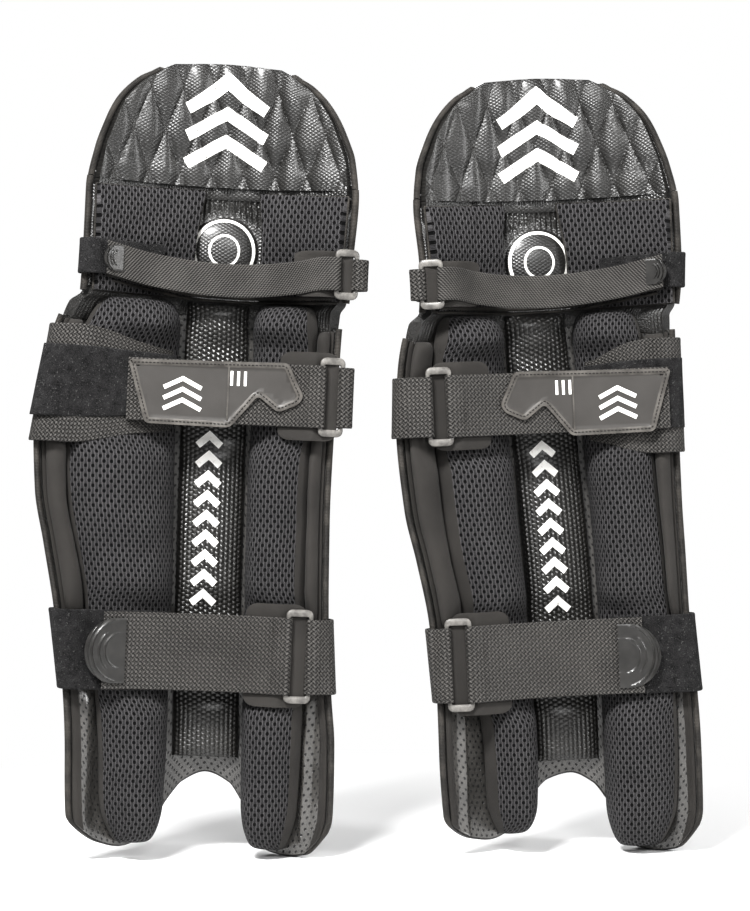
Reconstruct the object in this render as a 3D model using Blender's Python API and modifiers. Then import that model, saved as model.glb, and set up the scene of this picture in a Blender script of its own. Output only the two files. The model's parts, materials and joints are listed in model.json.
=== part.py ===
"""A pair of padded leg guards with straps, standing upright: metres, +Z up, the leg side facing -Y.

Each guard is drawn once in guard coordinates: x across (minus is its outer side), z up, and n, the
distance from the seam between the front shell and the lining, plus towards the leg. The straps of the
second guard mirror the first's, but both shells flare to the same side, so each guard has its own tables.
"""

import math

import bmesh
import bpy
from mathutils import Matrix, Vector

# Placing the pair
GUARD_OFFSET = 0.185  # from the middle plane to each guard's foot
GUARD_LEAN = math.radians(2.5)  # the tops lean towards each other

# The seam surface, by height: outer and inner half widths, and how far each edge curls to the leg
OUTLINE_LEFT = (
    (0.000, 0.110, 0.116),
    (0.044, 0.121, 0.127),
    (0.113, 0.124, 0.125),
    (0.160, 0.128, 0.120),
    (0.240, 0.140, 0.114),
    (0.300, 0.152, 0.112),
    (0.350, 0.162, 0.111),
    (0.425, 0.166, 0.112),
    (0.480, 0.157, 0.114),
    (0.530, 0.141, 0.116),
    (0.540, 0.129, 0.122),
    (0.586, 0.128, 0.124),
    (0.640, 0.128, 0.127),
    (0.678, 0.122, 0.123),
    (0.701, 0.115, 0.115),
    (0.725, 0.105, 0.103),
    (0.748, 0.085, 0.083),
    (0.757, 0.068, 0.067),
    (0.762, 0.052, 0.052),
)
OUTLINE_RIGHT = (
    (0.000, 0.116, 0.110),
    (0.044, 0.127, 0.121),
    (0.113, 0.126, 0.124),
    (0.160, 0.1245, 0.124),
    (0.240, 0.120, 0.129),
    (0.300, 0.119, 0.139),
    (0.350, 0.118, 0.149),
    (0.425, 0.118, 0.154),
    (0.480, 0.118, 0.150),
    (0.530, 0.118, 0.138),
    (0.540, 0.124, 0.127),
) + tuple(row for row in OUTLINE_LEFT if row[0] > 0.55)
CURL_LEFT = (
    (0.00, 0.045, 0.045),
    (0.11, 0.050, 0.048),
    (0.24, 0.056, 0.046),
    (0.40, 0.064, 0.044),
    (0.53, 0.056, 0.046),
    (0.59, 0.050, 0.048),
    (0.64, 0.046, 0.046),
    (0.70, 0.034, 0.034),
    (0.76, 0.012, 0.012),
)
CURL_RIGHT = tuple((z, inner, outer) for z, outer, inner in CURL_LEFT)
BOW = ((0.0, 0.012), (0.06, 0.005), (0.14, 0.0), (0.64, 0.0), (0.76, -0.010))
CURL_POWER = 2.4
KNOTS = (-1.0, -0.9, -0.78, -0.65, -0.52, -0.39, -0.26, -0.13, 0.0)
KNOTS = KNOTS + tuple(-u for u in reversed(KNOTS[:-1]))

# Layers
GAP = 0.0009  # between two layers that touch
LINING = 0.0022
SHELL_EDGE = 0.006
SHELL_VALLEY = 0.012
SHELL_RIB = 0.020
WEB = 0.0018  # strap webbing
ROD = 0.0020  # radius of the ring wire

# Heights of the three sections
SHIN_TOP = 0.531
KNEE_BOTTOM = 0.5385
KNEE_TOP = 0.6425
TOP_BOTTOM = 0.6565
HEIGHT = 0.762
KNEE_HINGE = (0.0, -0.002, 0.5345)
TOP_HINGE = (0.0, -0.002, 0.6490)

# The foot edge of the shin section, by distance across
FOOT_LEFT = (
    (-0.130, 0.060),
    (-0.118, 0.026),
    (-0.100, 0.009),
    (-0.080, 0.004),
    (-0.060, 0.009),
    (-0.044, 0.024),
    (-0.030, 0.048),
    (-0.014, 0.068),
    (0.008, 0.078),
    (0.032, 0.068),
    (0.048, 0.046),
    (0.062, 0.024),
    (0.078, 0.003),
    (0.098, 0.000),
    (0.116, 0.003),
    (0.130, 0.034),
)
FOOT_RIGHT = (
    (-0.130, 0.034),
    (-0.116, 0.003),
    (-0.098, 0.000),
    (-0.078, 0.003),
    (-0.062, 0.024),
    (-0.048, 0.046),
    (-0.032, 0.068),
    (-0.008, 0.080),
    (0.014, 0.075),
    (0.030, 0.060),
    (0.044, 0.038),
    (0.060, 0.025),
    (0.080, 0.020),
    (0.100, 0.024),
    (0.118, 0.038),
    (0.130, 0.068),
)
SEAT_MIDDLE = 0.0989  # distance across to the middle of the seat, the level flat that a guard stands on

# Straps: bottom and top of the webbing, then the ring's two bars as (x, y)
KNEE_STRAP = (0.5500, 0.5820)
CALF_STRAP = (0.4185, 0.4785)
ANKLE_STRAP = (0.1620, 0.2360)
KNEE_BARS = ((0.110, -0.0740), (0.129, -0.0700))
CALF_BARS_LEFT = ((0.101, -0.0640), (0.121, -0.0600))
CALF_BARS_RIGHT = ((0.106, -0.0690), (0.127, -0.0700))
ANKLE_BARS_LEFT = ((0.079, -0.0620), (0.101, -0.0600))
ANKLE_BARS_RIGHT = ((0.096, -0.0625), (0.118, -0.0610))
RING_CLEARANCE = 0.0010
RING_TURN = 0.003  # how far each corner of a ring is cut

MATERIALS = {
    "mesh_knit": ((0.022, 0.023, 0.027), 0.85, 0.0),
    "gloss_facing": ((0.016, 0.016, 0.017), 0.42, 0.0),
    "stretch_cloth": ((0.050, 0.052, 0.056), 0.80, 0.0),
    "webbing": ((0.018, 0.018, 0.018), 0.75, 0.0),
    "loop_pile": ((0.014, 0.014, 0.014), 0.95, 0.0),
    "moulded_rubber": ((0.060, 0.060, 0.062), 0.50, 0.0),
    "ring_plastic": ((0.110, 0.112, 0.116), 0.38, 0.0),
}


def at(stations, key, column=1):
    """The value in a column of stations, read between its rows."""
    if key <= stations[0][0]:
        return stations[0][column]
    for low, high in zip(stations, stations[1:]):
        if key <= high[0]:
            share = (key - low[0]) / (high[0] - low[0])
            return low[column] + share * (high[column] - low[column])
    return stations[-1][column]


def half_width(x_sign, z):
    return at(OUTLINE, z, 1 if x_sign < 0 else 2)


def seam_point(u, z, n):
    """The point n from the seam, at the share u of the half width."""
    width = half_width(u, z)
    curl = at(CURL, z, 1 if u < 0 else 2)
    slope = -curl * CURL_POWER * abs(u) ** (CURL_POWER - 1) * (1 if u > 0 else -1)
    length = math.hypot(slope, width)
    y = at(BOW, z) - curl * abs(u) ** CURL_POWER
    return Vector((u * width + n * slope / length, y - n * width / length, z))


def point(u, z, n):
    """As seam_point, with straight facets between the knots, and straight on past each edge."""
    clamped = max(-1.0, min(1.0, u))
    index = min(max(sum(knot <= clamped for knot in KNOTS) - 1, 0), len(KNOTS) - 2)
    low, high = KNOTS[index], KNOTS[index + 1]
    share = (u - low) / (high - low)
    return seam_point(low, z, n).lerp(seam_point(high, z, n), share)


def across(x, z, n):
    """As point, for a distance across in metres."""
    return point(x / half_width(x, z), z, n)


def grid_mesh(name, low, high):
    """A closed mesh between two grids of points, low and high, given as rows of equal length."""
    mesh = bmesh.new()
    rows = [[mesh.verts.new(p) for p in row] for row in low]
    tops = [[mesh.verts.new(p) for p in row] for row in high]
    last_row, last = len(rows) - 1, len(rows[0]) - 1
    for j in range(last_row):
        for i in range(last):
            mesh.faces.new((rows[j][i], rows[j + 1][i], rows[j + 1][i + 1], rows[j][i + 1]))
            mesh.faces.new((tops[j][i], tops[j][i + 1], tops[j + 1][i + 1], tops[j + 1][i]))
    for j in range(last_row):
        mesh.faces.new((rows[j][0], tops[j][0], tops[j + 1][0], rows[j + 1][0]))
        mesh.faces.new((rows[j][last], rows[j + 1][last], tops[j + 1][last], tops[j][last]))
    for i in range(last):
        mesh.faces.new((rows[0][i], rows[0][i + 1], tops[0][i + 1], tops[0][i]))
        near, far = rows[last_row], tops[last_row]
        mesh.faces.new((near[i], far[i], far[i + 1], near[i + 1]))
    return finished(name, mesh)


def finished(name, mesh):
    bmesh.ops.recalc_face_normals(mesh, faces=mesh.faces)
    data = bpy.data.meshes.new(name)
    mesh.to_mesh(data)
    mesh.free()
    return data


def spread(low, high, shares):
    return [low + (high - low) * share for share in shares]


def even(count):
    return [i / count for i in range(count + 1)]


def panel(name, columns, bottom, top, rows, low, high):
    """A panel on the seam: columns are shares u, and bottom, top, low and high are functions."""
    return grid_mesh(name, *panel_rows(columns, bottom, top, rows, low, high))


def panel_rows(columns, bottom, top, rows, low, high):
    lower, upper = [], []
    for share in even(rows):
        heights = [bottom(u) + share * (top(u) - bottom(u)) for u in columns]
        lower.append([point(u, z, low(u, z)) for u, z in zip(columns, heights)])
        upper.append([point(u, z, high(u, z)) for u, z in zip(columns, heights)])
    return lower, upper


def dome(share, power=2.2):
    """1 in the middle of 0..1 and 0 at both ends, with rounded shoulders."""
    return (1 - abs(2 * share - 1) ** power) ** (1 / power)


BOLSTER_SHARES = (0.0, 0.06, 0.22, 0.5, 0.78, 0.94, 1.0)


def bolster(name, stations, base, height, end):
    """A stuffed tube lying on the lining. Stations give its two edges by height."""
    lower, upper = [], []
    bottom, top = stations[0][0], stations[-1][0]
    heights = [bottom, bottom + end * 0.35, bottom + end]
    heights += [bottom + end + (top - bottom - 2 * end) * s for s in even(6)[1:-1]]
    heights += [top - end, top - end * 0.35, top]
    for z in heights:
        near = min(z - bottom, top - z, end) / end
        swell = 0.35 + 0.65 * dome(near / 2)
        xs = spread(at(stations, z, 1), at(stations, z, 2), BOLSTER_SHARES)
        tall = [base + 0.003 + (height - 0.003) * swell * dome(s) for s in BOLSTER_SHARES]
        lower.append([across(x, z, base) for x in xs])
        upper.append([across(x, z, n) for x, n in zip(xs, tall)])
    return grid_mesh(name, lower, upper)


def band(name, rows):
    """An open strip of webbing, given its thickness by build_guard. Each row is a path at one height."""
    mesh = bmesh.new()
    grid = [[mesh.verts.new(p) for p in row] for row in rows]
    for here, there in zip(grid, grid[1:]):
        for i in range(len(here) - 1):
            mesh.faces.new((here[i], here[i + 1], there[i + 1], there[i]))
    return finished(name, mesh)


def arc(centre, radius, start, stop, steps):
    """Points on an arc, angles in degrees."""
    angles = [math.radians(start + (stop - start) * s) for s in even(steps)]
    return [(centre[0] + radius * math.cos(a), centre[1] + radius * math.sin(a)) for a in angles]


def lifted(path, low, high, sag=()):
    """Two rows of a band: the same path at two heights, lowered by sag where it is given."""
    drops = list(sag) + [0.0] * (len(path) - len(sag))
    return [[Vector((x, y, z - d)) for (x, y), d in zip(path, drops)] for z in (low, high)]


def ring_wire(name, bars, strap):
    """The wire ring between its two upright bars: a bevelled loop with its corners cut."""
    low = strap[0] - RING_CLEARANCE - ROD
    high = strap[1] + RING_CLEARANCE + ROD
    (x0, y0), (x1, y1) = bars
    turn = RING_TURN
    cut = Vector((x1 - x0, y1 - y0, 0)).normalized() * turn
    path = [Vector((x0, y0, low + turn)), Vector((x0, y0, low)) + cut]
    path += [Vector((x1, y1, low)) - cut, Vector((x1, y1, low + turn))]
    path += [Vector((x1, y1, high - turn)), Vector((x1, y1, high)) - cut]
    path += [Vector((x0, y0, high)) + cut, Vector((x0, y0, high - turn))]
    data = bpy.data.curves.new(name, "CURVE")
    data.dimensions = "3D"
    data.bevel_depth = ROD
    data.bevel_resolution = 1
    spline = data.splines.new("POLY")
    spline.points.add(len(path) - 1)
    for knot, p in zip(spline.points, path):
        knot.co = (*p, 1.0)
    spline.use_cyclic_u = True
    return data


def strap_loop(bar, tail):
    """The fold round the ring's strap bar, starting at the tail that lies under the strap."""
    radius = ROD + 0.0006 + WEB / 2
    return [(bar[0] - tail, bar[1] + radius)] + arc(bar, radius, 90, -90, 6)


def anchor_loop(bar, tail):
    radius = ROD + 0.0006 + WEB / 2
    return [(bar[0] + tail, bar[1] + radius)] + arc(bar, radius, 90, 270, 6)


def edge_wrap(z, wrap, side):
    """Points going round a wing's edge, from the leg side to the front."""
    width = half_width(side, z)
    return [point(side * (1 + reach / width), z, n) for n, reach in wrap]


def shell_front(u, z):
    ribbed = abs(u) <= 0.66
    on_rib = min(abs(abs(u) - rib) for rib in (0.0, 0.26, 0.52)) < 0.03
    if ribbed:
        return -(SHELL_RIB if on_rib else SHELL_VALLEY)
    return -(SHELL_EDGE + (SHELL_VALLEY - SHELL_EDGE) * (1 - abs(u)) / 0.35)


def foot_edge(u):
    return at(FOOT, u * half_width(u, 0.05))


def shin_top_edge(u):
    return SHIN_TOP - 0.016 * abs(u) ** 2


def level_seat(row):
    """Brings the seat's points onto one plane, which is level once the guard leans."""
    middle = math.copysign(SEAT_MIDDLE, SEAT_COLUMNS[0] - 8)
    for i in SEAT_COLUMNS:
        row[i].z = (row[i].x - middle) * math.tan(GUARD_LEAN)


def shin_shell():
    lower, upper = panel_rows(KNOTS, foot_edge, shin_top_edge, 8, shell_front, lambda u, z: 0.0)
    level_seat(lower[0])
    level_seat(upper[0])
    return grid_mesh("", lower, upper)


def shin_lining():
    columns = [u * 0.97 for u in KNOTS]
    return panel(
        "",
        columns,
        lambda u: foot_edge(u) + 0.003,
        lambda u: shin_top_edge(u) - 0.003,
        8,
        lambda u, z: GAP,
        lambda u, z: GAP + LINING,
    )


ON_LINING = 2 * GAP + LINING + 0.0009
SHIN_BOLSTER_LEFT = (
    (0.094, -0.026, 0.040),
    (0.240, -0.029, 0.036),
    (0.400, -0.031, 0.034),
    (0.521, -0.030, 0.031),
)
SHIN_BOLSTER_RIGHT = (
    (0.094, -0.037, 0.027),
    (0.240, -0.037, 0.030),
    (0.400, -0.029, 0.037),
    (0.521, -0.020, 0.042),
)
CALF_OUTER_LEFT = (
    (0.010, -0.092, -0.040),
    (0.050, -0.104, -0.034),
    (0.110, -0.106, -0.033),
    (0.240, -0.121, -0.034),
    (0.380, -0.146, -0.037),
    (0.450, -0.146, -0.038),
    (0.520, -0.128, -0.036),
)
CALF_INNER_LEFT = (
    (0.007, 0.050, 0.098),
    (0.050, 0.044, 0.109),
    (0.110, 0.045, 0.108),
    (0.240, 0.042, 0.104),
    (0.380, 0.040, 0.101),
    (0.450, 0.040, 0.101),
    (0.520, 0.037, 0.103),
)
CALF_OUTER_RIGHT = (
    (0.007, -0.103, -0.048),
    (0.050, -0.113, -0.042),
    (0.110, -0.114, -0.041),
    (0.240, -0.111, -0.042),
    (0.330, -0.107, -0.039),
    (0.450, -0.100, -0.031),
    (0.520, -0.095, -0.026),
)
CALF_INNER_RIGHT = (
    (0.028, 0.040, 0.080),
    (0.060, 0.032, 0.087),
    (0.110, 0.030, 0.089),
    (0.240, 0.035, 0.104),
    (0.330, 0.041, 0.120),
    (0.450, 0.046, 0.126),
    (0.520, 0.048, 0.120),
)


def side_roll(inner):
    """The soft roll along the wing's edge, between the calf bolster and the rim."""
    edges = CALF_INNER if inner else CALF_OUTER
    side = 1 if inner else -1
    bolster_column = 2 if inner else 1
    stations = []
    for z in (0.240, 0.300, 0.350, 0.425, 0.480, 0.512):
        near = abs(at(edges, z, bolster_column)) + 0.0015
        far = half_width(side, z) * 0.985
        stations.append((z, side * near, side * far))
    return bolster("side_roll", stations, ON_LINING, 0.011, 0.012)


def knee_bottom_edge(u):
    return KNEE_BOTTOM + 0.007 * abs(u) ** 2


def knee_cup(u, z):
    x = u * half_width(u, z) - 0.004
    away = math.hypot(x, z - 0.590) / 0.036
    return 0.004 + 0.010 * max(0.0, 1 - away**2)


def knee_cup_panel():
    return panel("", KNOTS, knee_bottom_edge, lambda u: KNEE_TOP, 8, lambda u, z: -0.004, knee_cup)


ROLL_END = 0.90  # share of the half width where the knee rolls stop


def knee_roll(low, high):
    """A padded roll across the front of the knee."""
    columns = [max(-ROLL_END, min(ROLL_END, u)) for u in KNOTS[1:-1]]
    lower, upper = [], []
    for share in (0.0, 0.12, 0.5, 0.88, 1.0):
        z = low + (high - low) * share
        thick = [0.004 + (0.020 - 0.010 * u * u) * dome(share) for u in columns]
        lower.append([point(u, z, -0.004 - GAP - t) for u, t in zip(columns, thick)])
        upper.append([point(u, z, -0.004 - GAP) for u in columns])
    return grid_mesh("", lower, upper)


WING_SEAT = 0.004 + GAP + 0.0006


def knee_wing(stations):
    """A padded flap of mesh over the knee panel."""
    shares = even(6)
    lower, upper = [], []
    for share in even(5):
        row = []
        for s in shares:
            x = stations[0] + (stations[1] - stations[0]) * s
            u = x / half_width(x, 0.59)
            bottom = knee_bottom_edge(u) + 0.0015
            z = bottom + (KNEE_TOP - 0.002 - bottom) * share
            thick = 0.003 + 0.010 * dome(0.04 + 0.92 * s) * dome(0.04 + 0.92 * share)
            row.append((u, z, thick))
        lower.append([point(u, z, WING_SEAT + over_cup(u, z)) for u, z, t in row])
        upper.append([point(u, z, WING_SEAT + over_cup(u, z) + t) for u, z, t in row])
    return grid_mesh("", lower, upper)


def over_cup(u, z):
    return max(0.0, knee_cup(u, z) - 0.004)


def top_shell():
    rows = (TOP_BOTTOM, 0.678, 0.701, 0.725, 0.748, 0.757, HEIGHT)
    low = [[point(u, z, shell_front(u, z) * (0.8 if z < 0.75 else 0.6)) for u in KNOTS] for z in rows]
    high = [[point(u, z, 0.0) for u in KNOTS] for z in rows]
    return grid_mesh("", low, high)


def top_lining():
    columns = [u * 0.95 for u in KNOTS]
    rows = (TOP_BOTTOM + 0.001, 0.678, 0.701, 0.725, 0.748, 0.757, HEIGHT - 0.001)
    lower, upper = [], []
    for j, z in enumerate(rows):
        soft = dome(0.03 + 0.94 * j / (len(rows) - 1))
        thick = [0.003 + 0.008 * soft * dome(0.03 + 0.94 * i / 16) for i in range(17)]
        lower.append([point(u, z, GAP) for u in columns])
        upper.append([point(u, z, GAP + t) for u, t in zip(columns, thick)])
    return grid_mesh("", lower, upper)


CALF_BASE_LEFT = ((-0.046, 0.0260), (-0.062, 0.0345), (-0.094, 0.0375), (-0.124, 0.0345), (-0.146, 0.0255))
CALF_BASE_RIGHT = ((-0.040, 0.0320), (-0.052, 0.0368), (-0.068, 0.0380), (-0.088, 0.0345), (-0.106, 0.0225))
ANKLE_BASE_LEFT = ((-0.062, 0.0365), (-0.082, 0.0375), (-0.104, 0.0335), (-0.121, 0.0215))
ANKLE_BASE_RIGHT = ((-0.058, 0.0368), (-0.078, 0.0378), (-0.098, 0.0360), (-0.115, 0.0225))
KNEE_BASE_PATH = ((-0.060, 0.0200), (-0.085, 0.0200), (-0.110, 0.0195), (-0.122, 0.0175))
# Round an edge, from the leg side to the front: (n, distance beyond the edge)
SHELL_WRAP = ((0.0160, 0.0020), (0.0090, 0.0055), (0.0, 0.0065), (-0.0080, 0.0030))
SHELL_WRAP += ((-0.0098, -0.0060), (-0.0105, -0.0160))
KNEE_WRAP = ((0.0160, 0.0020), (0.0090, 0.0050), (0.0, 0.0055), (-0.0050, 0.0025))
KNEE_WRAP += ((-0.0062, -0.0030), (-0.0062, -0.0090))


# How a ring's webbing leaves its bar, as distances from the bar
ANCHOR_RISE = ((0.006, -0.0035), (0.010, -0.0010))
CALF_RISE_RIGHT = ((0.006, -0.0040), (0.014, -0.0050), (0.025, -0.0045))


def base_band(path, spans, wrap=SHELL_WRAP):
    """A strap base on the outer side: over the bolster, round the wing's edge and onto its front."""
    rows = []
    for share in (0.0, 0.5, 1.0):
        row = []
        for (x, n), (low, high) in zip(path, spans):
            row.append(across(x, low + (high - low) * share, n))
        low, high = spans[-1]
        row += edge_wrap(low + (high - low) * share, wrap, -1)
        rows.append(row)
    return band("", rows)


def anchor_band(bars, strap, rise, wrap=SHELL_WRAP):
    """The webbing that holds a ring: round its bar, then round the inner edge onto the front."""
    anchor = bars[1]
    rows = []
    for z in (strap[0] + 0.001, strap[1] - 0.001):
        row = [Vector((x, y, z)) for x, y in anchor_loop(anchor, 0.005)]
        row += [Vector((anchor[0] + dx, anchor[1] + dy, z)) for dx, dy in rise]
        row += edge_wrap(z, wrap[2:], 1)
        rows.append(row)
    return band("", rows)


KNEE_PATH = ((0.098, -0.0745), (0.075, -0.0600), (0.040, -0.0470), (0.000, -0.0420), (-0.040, -0.0440))
KNEE_PATH += ((-0.075, -0.0500), (-0.098, -0.0600), (-0.108, -0.0655))
KNEE_SAG = (0.0,) * 8 + (0.000, 0.004, 0.008, 0.009, 0.006, 0.001, -0.004, -0.006)
CALF_PATH_LEFT = ((0.093, -0.0665), (0.080, -0.0625), (0.064, -0.0580), (0.040, -0.0555))
CALF_PATH_LEFT += ((0.000, -0.0545), (-0.040, -0.0550), (-0.066, -0.0560), (-0.084, -0.0570))
CALF_PATH_RIGHT = ((0.098, -0.0710), (0.084, -0.0665), (0.064, -0.0605), (0.040, -0.0570))
CALF_PATH_RIGHT += ((0.000, -0.0555), (-0.040, -0.0560), (-0.080, -0.0585), (-0.110, -0.0625))
ANKLE_PATH_LEFT = ((0.071, -0.0635), (0.055, -0.0590), (0.030, -0.0530), (0.000, -0.0510))
ANKLE_PATH_LEFT += ((-0.030, -0.0510), (-0.060, -0.0550), (-0.078, -0.0605), (-0.096, -0.0680))
ANKLE_PATH_RIGHT = ((0.088, -0.0650), (0.072, -0.0610), (0.048, -0.0560), (0.016, -0.0525))
ANKLE_PATH_RIGHT += ((-0.014, -0.0520), (-0.042, -0.0545), (-0.058, -0.0570), (-0.074, -0.0600))


def strap_band(bars, strap, path, sag=(), tail=0.018):
    return band("", lifted(strap_loop(bars[0], tail) + list(path), strap[0], strap[1], sag))


def path_normals(points):
    normals = []
    for i in range(len(points)):
        before, after = points[max(i - 1, 0)], points[min(i + 1, len(points) - 1)]
        along = Vector((after.x - before.x, after.y - before.y, 0)).normalized()
        normals.append(Vector((along.y, -along.x, 0)))
    return normals


def plate(path, spans, offset):
    """A plate on the leg side of a strap: points along the strap, each with its bottom and top."""
    rows = [[Vector((x, y, span[k])) for (x, y), span in zip(path, spans)] for k in (0, 1)]
    shifts = [normal * (offset if normal.y < 0 else -offset) for normal in path_normals(rows[0])]
    return band("", [[p + shift for p, shift in zip(row, shifts)] for row in rows])


BADGE_PATH_LEFT = ((-0.082, -0.0569), (-0.067, -0.0560), (-0.030, -0.0548), (0.014, -0.0548))
BADGE_PATH_LEFT += ((0.041, -0.0556), (0.062, -0.0578), (0.074, -0.0608), (0.084, -0.0638))
BADGE_PATH_RIGHT = ((-0.110, -0.0625), (-0.095, -0.0605), (-0.058, -0.0571), (-0.014, -0.0557))
BADGE_PATH_RIGHT += ((0.013, -0.0560), (0.034, -0.0567), (0.046, -0.0577), (0.056, -0.0592))
BADGE_SPANS = ((0.4670, 0.4767), (0.4175, 0.4775), (0.4165, 0.4780), (0.4165, 0.4785))
BADGE_SPANS += ((0.4490, 0.4790), (0.4320, 0.4790), (0.4360, 0.4790), (0.4430, 0.4560))


def tab_plate(centre, along, middle, radius, body, offset):
    """A half-round tab: a straight body, then a half circle at its outer end."""
    x, y = centre
    length = math.hypot(*along)
    tx, ty = along[0] / length, along[1] / length
    path, spans = [(x - tx * body, y - ty * body)], [(middle - radius, middle + radius)]
    for angle in (0, 25, 50, 70, 84):
        reach = radius * math.sin(math.radians(angle))
        half = radius * math.cos(math.radians(angle))
        path.append((x + tx * reach, y + ty * reach))
        spans.append((middle - half, middle + half))
    return plate(path, spans, offset)


TAB_SEAT = 0.0028  # from the middle of a strap to the middle of a plate sewn on it
ANKLE_TAB_LEFT = ((-0.0850, -0.0635), (-18, -7.5))  # its centre, and the strap's direction there
ANKLE_TAB_RIGHT = ((-0.0600, -0.0575), (-16, -3.0))


def lay_out(side):
    """Takes up the tables of one guard."""
    global OUTLINE, CURL, FOOT, SEAT_COLUMNS, SHIN_BOLSTER, CALF_OUTER, CALF_INNER, CALF_BASE, ANKLE_BASE
    global CALF_BARS, CALF_RISE, ANKLE_BARS, CALF_PATH, ANKLE_PATH, BADGE_PATH, ANKLE_TAB
    if side == "left":
        OUTLINE, CURL, FOOT, SEAT_COLUMNS = OUTLINE_LEFT, CURL_LEFT, FOOT_LEFT, (13, 14, 15)
        SHIN_BOLSTER, CALF_OUTER, CALF_INNER = SHIN_BOLSTER_LEFT, CALF_OUTER_LEFT, CALF_INNER_LEFT
        CALF_BASE, ANKLE_BASE = CALF_BASE_LEFT, ANKLE_BASE_LEFT
        CALF_BARS, CALF_RISE, ANKLE_BARS = CALF_BARS_LEFT, ANCHOR_RISE, ANKLE_BARS_LEFT
        CALF_PATH, ANKLE_PATH = CALF_PATH_LEFT, ANKLE_PATH_LEFT
        BADGE_PATH, ANKLE_TAB = BADGE_PATH_LEFT, ANKLE_TAB_LEFT
    else:
        OUTLINE, CURL, FOOT, SEAT_COLUMNS = OUTLINE_RIGHT, CURL_RIGHT, FOOT_RIGHT, (3, 2, 1)
        SHIN_BOLSTER, CALF_OUTER, CALF_INNER = SHIN_BOLSTER_RIGHT, CALF_OUTER_RIGHT, CALF_INNER_RIGHT
        CALF_BASE, ANKLE_BASE = CALF_BASE_RIGHT, ANKLE_BASE_RIGHT
        CALF_BARS, CALF_RISE, ANKLE_BARS = CALF_BARS_RIGHT, CALF_RISE_RIGHT, ANKLE_BARS_RIGHT
        CALF_PATH, ANKLE_PATH = CALF_PATH_RIGHT, ANKLE_PATH_RIGHT
        BADGE_PATH, ANKLE_TAB = BADGE_PATH_RIGHT, ANKLE_TAB_RIGHT


def pieces():
    """Each piece as (name, body, material, mesh), in guard coordinates."""
    calf_spans = ((0.4100, 0.4870), (0.4080, 0.4890), (0.4050, 0.4950))
    calf_spans += ((0.3990, 0.5030), (0.3950, 0.5070))
    ankle_spans = ((0.1610, 0.2370),) * 4
    knee_spans = ((0.5560, 0.5900),) * 4
    return (
        ("top_shell", "top", "gloss_facing", top_shell()),
        ("top_lining", "top", "gloss_facing", top_lining()),
        ("knee_cup_panel", "knee", "gloss_facing", knee_cup_panel()),
        ("knee_roll_lower", "knee", "gloss_facing", knee_roll(0.5400, 0.5720)),
        ("knee_roll_middle", "knee", "gloss_facing", knee_roll(0.5745, 0.6070)),
        ("knee_roll_upper", "knee", "gloss_facing", knee_roll(0.6095, 0.6420)),
        ("knee_wing_outer", "knee", "mesh_knit", knee_wing((-0.124, -0.020))),
        ("knee_wing_inner", "knee", "mesh_knit", knee_wing((0.046, 0.118))),
        ("knee_strap_base", "knee", "loop_pile", base_band(KNEE_BASE_PATH, knee_spans, KNEE_WRAP)),
        ("knee_ring_anchor", "knee", "webbing", anchor_band(KNEE_BARS, KNEE_STRAP, ANCHOR_RISE, KNEE_WRAP)),
        ("knee_ring", "knee_ring", "ring_plastic", ring_wire("", KNEE_BARS, KNEE_STRAP)),
        ("knee_strap", "knee_strap", "webbing", strap_band(KNEE_BARS, KNEE_STRAP, KNEE_PATH, KNEE_SAG)),
        (
            "knee_strap_tab",
            "knee_strap",
            "moulded_rubber",
            tab_plate((-0.1010, -0.0616), (-10, -6.0), 0.5715, 0.0125, 0.008, TAB_SEAT),
        ),
        ("shin_shell", "shin", "gloss_facing", shin_shell()),
        ("shin_lining", "shin", "gloss_facing", shin_lining()),
        ("shin_bolster", "shin", "gloss_facing", bolster("", SHIN_BOLSTER, ON_LINING, 0.014, 0.014)),
        ("calf_bolster_outer", "shin", "mesh_knit", bolster("", CALF_OUTER, ON_LINING, 0.031, 0.034)),
        ("calf_bolster_inner", "shin", "mesh_knit", bolster("", CALF_INNER, ON_LINING, 0.031, 0.034)),
        ("side_roll_outer", "shin", "stretch_cloth", side_roll(False)),
        ("side_roll_inner", "shin", "stretch_cloth", side_roll(True)),
        ("calf_strap_base", "shin", "webbing", base_band(CALF_BASE, calf_spans)),
        ("calf_ring_anchor", "shin", "webbing", anchor_band(CALF_BARS, CALF_STRAP, CALF_RISE)),
        ("calf_ring", "calf_ring", "ring_plastic", ring_wire("", CALF_BARS, CALF_STRAP)),
        ("calf_strap", "calf_strap", "webbing", strap_band(CALF_BARS, CALF_STRAP, CALF_PATH)),
        (
            "calf_badge",
            "calf_strap",
            "moulded_rubber",
            plate(BADGE_PATH, BADGE_SPANS, TAB_SEAT),
        ),
        ("ankle_strap_base", "shin", "webbing", base_band(ANKLE_BASE, ankle_spans)),
        ("ankle_ring_anchor", "shin", "webbing", anchor_band(ANKLE_BARS, ANKLE_STRAP, ANCHOR_RISE)),
        ("ankle_ring", "ankle_ring", "ring_plastic", ring_wire("", ANKLE_BARS, ANKLE_STRAP)),
        ("ankle_strap", "ankle_strap", "webbing", strap_band(ANKLE_BARS, ANKLE_STRAP, ANKLE_PATH)),
        (
            "ankle_strap_tab",
            "ankle_strap",
            "moulded_rubber",
            tab_plate(*ANKLE_TAB, 0.1990, 0.0310, 0.010, TAB_SEAT),
        ),
    )


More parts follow.
